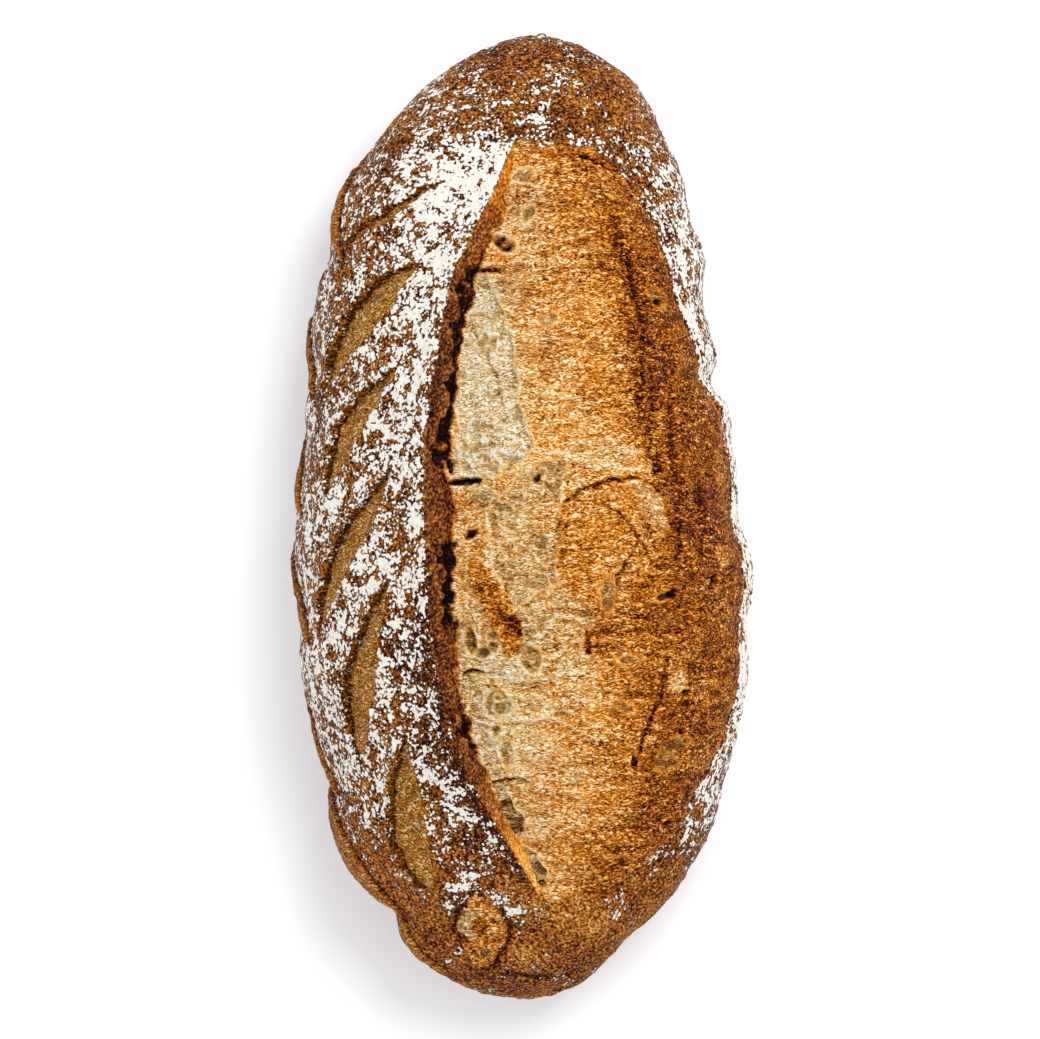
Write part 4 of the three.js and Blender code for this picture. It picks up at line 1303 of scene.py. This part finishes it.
# %% The crust's fine detail
crust = bpy.data.materials.new("baked_crust")
crust.use_nodes = True
add = functools.partial(add_node, crust.node_tree)
GRAIN = 0.9  # mm, the pebbling of a dried crust
CURL = 0.95  # mm, the fine wrinkles of the bloom
BEND, BEND_REACH = 2.8, 1.9  # mm, how far apart the curls turn and how far they stray
DRAWN_OUT = (0.45, 1.25, 0.8)  # stretches the wrinkles across the loaf, as the dough was pulled
CONTRAST = 0.19  # how far the detail moves a point along its run of colours
SHARPNESS = 0.55  # below 1 a wrinkle's line is sharp, with round hills between

place = add("TexCoord", output="Object")
in_mm = add("VectorMath", {0: place, 1: (1 / MM, 1 / MM, 1 / MM)}, operation="MULTIPLY")
light_here = add("Attribute", output="Fac", attribute_name="light")
pebbled_here = add("Attribute", output="Fac", attribute_name="pebbled")
grain = add("TexNoise", {"Vector": in_mm, "Scale": 1 / GRAIN, "Detail": 2.0, "Roughness": 0.6})
curve = add("TexNoise", {"Vector": in_mm, "Scale": 1 / BEND, "Detail": 1.0}, output="Color")
strayed = (BEND_REACH, BEND_REACH, BEND_REACH)
curved = add("VectorMath", {0: curve, 1: strayed, 2: in_mm}, operation="MULTIPLY_ADD")
drawn_out = add("VectorMath", {0: curved, 1: DRAWN_OUT}, operation="MULTIPLY")

# %% Two sizes of wrinkle, and the pebbles
# The large wrinkles are dark lines between light hills, and the small ones light lines between dark.
# The dark is partly the crust's own and partly painted shade, the light partly painted highlight.
WRINKLES = [  # mm, tone on the line, tone on the hill
    (CURL, -2.25, 1.45), (CURL / 2, 2.35, -1.35),
]
HILL_TOP = 0.38  # what the sharpened noise reaches on a hill
PEBBLE_TONE = 2.2
SMALL_SHARE, PEBBLE_SHARE = 0.6, 0.3  # of the small wrinkles and the pebbles, beside the large wrinkles
wrinkles = []
for size, line, hill in WRINKLES:
    hills = add("TexNoise", {"Vector": drawn_out, "Scale": 1 / size, "Detail": 1.0, "Roughness": 0.5})
    from_line = add("Math", {0: hills, 1: 0.5}, operation="SUBTRACT")
    off_line = add("Math", {0: from_line}, operation="ABSOLUTE")
    rounded = add("Math", {0: off_line, 1: SHARPNESS}, operation="POWER")
    tones = {"Value": rounded, 1: 0.0, 2: HILL_TOP, 3: line, 4: hill}
    wrinkles.append(add("MapRange", tones, clamp=False))
tones = {"Value": grain, 1: 0.3, 2: 0.7, 3: -PEBBLE_TONE, 4: PEBBLE_TONE}
pebbles = add("MapRange", tones, clamp=False)
finer = add("Math", {0: wrinkles[1], 1: SMALL_SHARE, 2: wrinkles[0]}, operation="MULTIPLY_ADD")
curly = add("Math", {0: pebbles, 1: PEBBLE_SHARE, 2: finer}, operation="MULTIPLY_ADD")
detail = add("Mix", {"Factor": pebbled_here, "A": curly, "B": pebbles}, data_type="FLOAT")
wrinkled_here = add("Attribute", output="Fac", attribute_name="wrinkled")
strong = add("Math", {0: wrinkled_here, 1: CONTRAST}, operation="MULTIPLY")
shade = add("Math", {0: detail, 1: strong, 2: light_here}, operation="MULTIPLY_ADD")

# %% [markdown]
# ## Runs of colour
#
# Golden crust is the plain browning of bread: black, red-brown, orange, gold, cream. Crumb goes through
# greyer browns to cream, as it holds little sugar on its surface. Skin is a touch duller than the bloom,
# char redder, and the floors of the leaves are olive. One run for all of them, darkened here and there,
# would make the crumb orange. In each list the two ends come first, and the stops between follow.

# %% The crust's colours
GOLDEN = [
    (0.0, "120200"), (1.0, "fff2cc"), (0.08, "340801"), (0.15, "581a01"), (0.24, "7a3406"),
    (0.32, "994e07"), (0.44, "c3690e"), (0.53, "da8421"), (0.65, "f3a23d"), (0.75, "ffbd58"),
    (0.87, "ffdd94"),
]
CRUMB = [
    (0.0, "120802"), (1.0, "fffdf2"), (0.2, "563915"), (0.38, "916e3a"), (0.60, "caa468"),
    (0.71, "e6c286"), (0.82, "f8dba5"), (0.90, "feecc2"),
]
SKIN = [
    (0.0, "120200"), (1.0, "fff6e4"), (0.10, "3a1001"), (0.18, "581f02"), (0.26, "763c08"),
    (0.35, "925212"), (0.46, "b26b22"), (0.60, "d09040"), (0.78, "ecc070"),
]
CHAR = [
    (0.0, "060000"), (1.0, "fff0d8"), (0.08, "2a0d08"), (0.18, "54220f"), (0.30, "80441c"),
    (0.42, "ad6a28"), (0.53, "cf8f40"), (0.7, "eaba78"),
]
LEAF = [
    (0.0, "120600"), (1.0, "fff4e0"), (0.12, "451a01"), (0.24, "704003"), (0.34, "97580c"),
    (0.48, "ba7720"), (0.70, "e0b66c"),
]
# Each kind of crust is laid over those before it, by the attribute that says where it is.
LAID_OVER = [
    ("floured", SKIN), ("torn", GOLDEN), ("pale", CRUMB), ("lip_face", CHAR), ("leaf_floor", LEAF),
]
colour = add("ValToRGB", {"Fac": shade}, stops=GOLDEN)
for kind, stops in LAID_OVER:
    over = add("ValToRGB", {"Fac": shade}, stops=stops)
    share = add("Attribute", output="Fac", attribute_name=kind)
    colour = add("Mix", {"Factor": share, "A": colour, "B": over}, data_type="RGBA")
print(f"{len(LAID_OVER)} kinds of crust lie over the gold")

# %% [markdown]
# ## Flour
#
# Flour is a fine white powder, lying in specks and clumps with crust between. A real grain is some
# 0.03 mm, far too fine to show, so the specks are drawn as coarse as grains gather. Three patterns are
# added (specks, clumps and the round flakes that specks break into), and a point is white where their
# sum and its own cover pass a mark. Just short of the mark the crust is painted darker, as the shadow
# round each flake's edge.

# %% Dust the crust
SPECK = 1.3  # mm, a speck of flour
CLUMP = 4.0  # mm, how specks gather
FLAKE = 1.1  # mm, the round flakes that a speck breaks into
SPECK_SHARE, CLUMP_SHARE, FLAKE_SHARE, COVER_SHARE = 0.38, 0.40, -0.19, 0.20
FLOUR_FROM, FLOUR_FULL = 0.381, 0.401  # the mark, and where flour is solid
# Painted shadow round each flake: the crust just short of the mark is darker.
FLAKE_SHADOW_FROM, FLAKE_SHADOW_FULL, FLAKE_SHADOW = 0.305, 0.373, 0.68  # the darker crust short of the mark
ANY_COVER = 0.05
FLAKE_SHADOW_BROWN = "2a1004"
speck = add("TexNoise", {"Vector": in_mm, "Scale": 1 / SPECK, "Detail": 2.0, "Roughness": 0.6})
clump = add("TexNoise", {"Vector": in_mm, "Scale": 1 / CLUMP, "Detail": 2.0})
flake = add("TexVoronoi", {"Vector": in_mm, "Scale": 1 / FLAKE}, output="Distance")
cover_here = add("Attribute", output="Fac", attribute_name="cover")
raised = add("Math", {0: speck, 1: SPECK_SHARE}, operation="MULTIPLY")
for part, share in ((clump, CLUMP_SHARE), (flake, FLAKE_SHARE), (cover_here, COVER_SHARE)):
    raised = add("Math", {0: part, 1: share, 2: raised}, operation="MULTIPLY_ADD")
dusted = add("MapRange", {"Value": raised, 1: FLOUR_FROM, 2: FLOUR_FULL}, clamp=True)
tones = {"Value": raised, 1: FLAKE_SHADOW_FROM, 2: FLAKE_SHADOW_FULL, 3: 0.0, 4: FLAKE_SHADOW}
flake_shadow_share = add("MapRange", tones, clamp=True)
has_any = add("MapRange", {"Value": cover_here, 1: 0.0, 2: ANY_COVER}, clamp=True)
white = add("Math", {0: dusted, 1: has_any}, operation="MULTIPLY")
between = add("Math", {0: flake_shadow_share, 1: has_any}, operation="MULTIPLY")
# The painted shadow round the flakes.
dark = linear(FLAKE_SHADOW_BROWN)
colour = add("Mix", {"Factor": between, "A": colour, "B": dark}, data_type="RGBA")
flour_colour = add("ValToRGB", {"Fac": grain}, stops=[(0.3, "efe3cd"), (0.6, "fffdf6")])
colour = add("Mix", {"Factor": white, "A": colour, "B": flour_colour}, data_type="RGBA")

# %% [markdown]
# ## Sheen and bump
#
# Baked starch has an index of refraction near 1.5, like most dry organic things, and no metal in it. Bare
# crust is fairly rough, so it shows a soft, waxy light on its ridges and never a sharp one, and flour is
# fully matte. The pores swallow most of the mirror light, so its level is low. The wrinkles and the
# thickness of the flour are too fine for the mesh and come as a bump.

# %% Finish the crust
CRUST_IOR = 1.5
CRUST_ROUGHNESS, FLOUR_ROUGHNESS = 0.6, 0.95
SPECULAR_LEVEL = 0.07
FLOUR_HEIGHT = 0.8  # how high a flake stands, beside a wrinkle's tone
BUMP_STRENGTH, BUMP_HEIGHT = 0.6, 0.16  # the height is in mm
rough = add("MapRange", {"Value": white, 3: CRUST_ROUGHNESS, 4: FLOUR_ROUGHNESS})
height = add("Math", {0: white, 1: FLOUR_HEIGHT, 2: detail}, operation="MULTIPLY_ADD")
bump = add("Bump", {"Height": height, "Strength": BUMP_STRENGTH, "Distance": BUMP_HEIGHT * MM})
shader = crust.node_tree.nodes["Principled BSDF"]
crust.node_tree.links.new(colour, shader.inputs["Base Color"])
crust.node_tree.links.new(rough, shader.inputs["Roughness"])
crust.node_tree.links.new(bump, shader.inputs["Normal"])
shader.inputs["IOR"].default_value = CRUST_IOR
shader.inputs["Specular IOR Level"].default_value = SPECULAR_LEVEL
crust_mesh.materials.append(crust)
print(f"the crust's material has {len(crust.node_tree.nodes)} nodes")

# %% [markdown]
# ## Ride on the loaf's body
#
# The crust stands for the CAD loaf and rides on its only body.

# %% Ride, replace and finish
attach(loaf, "root")
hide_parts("loaf")
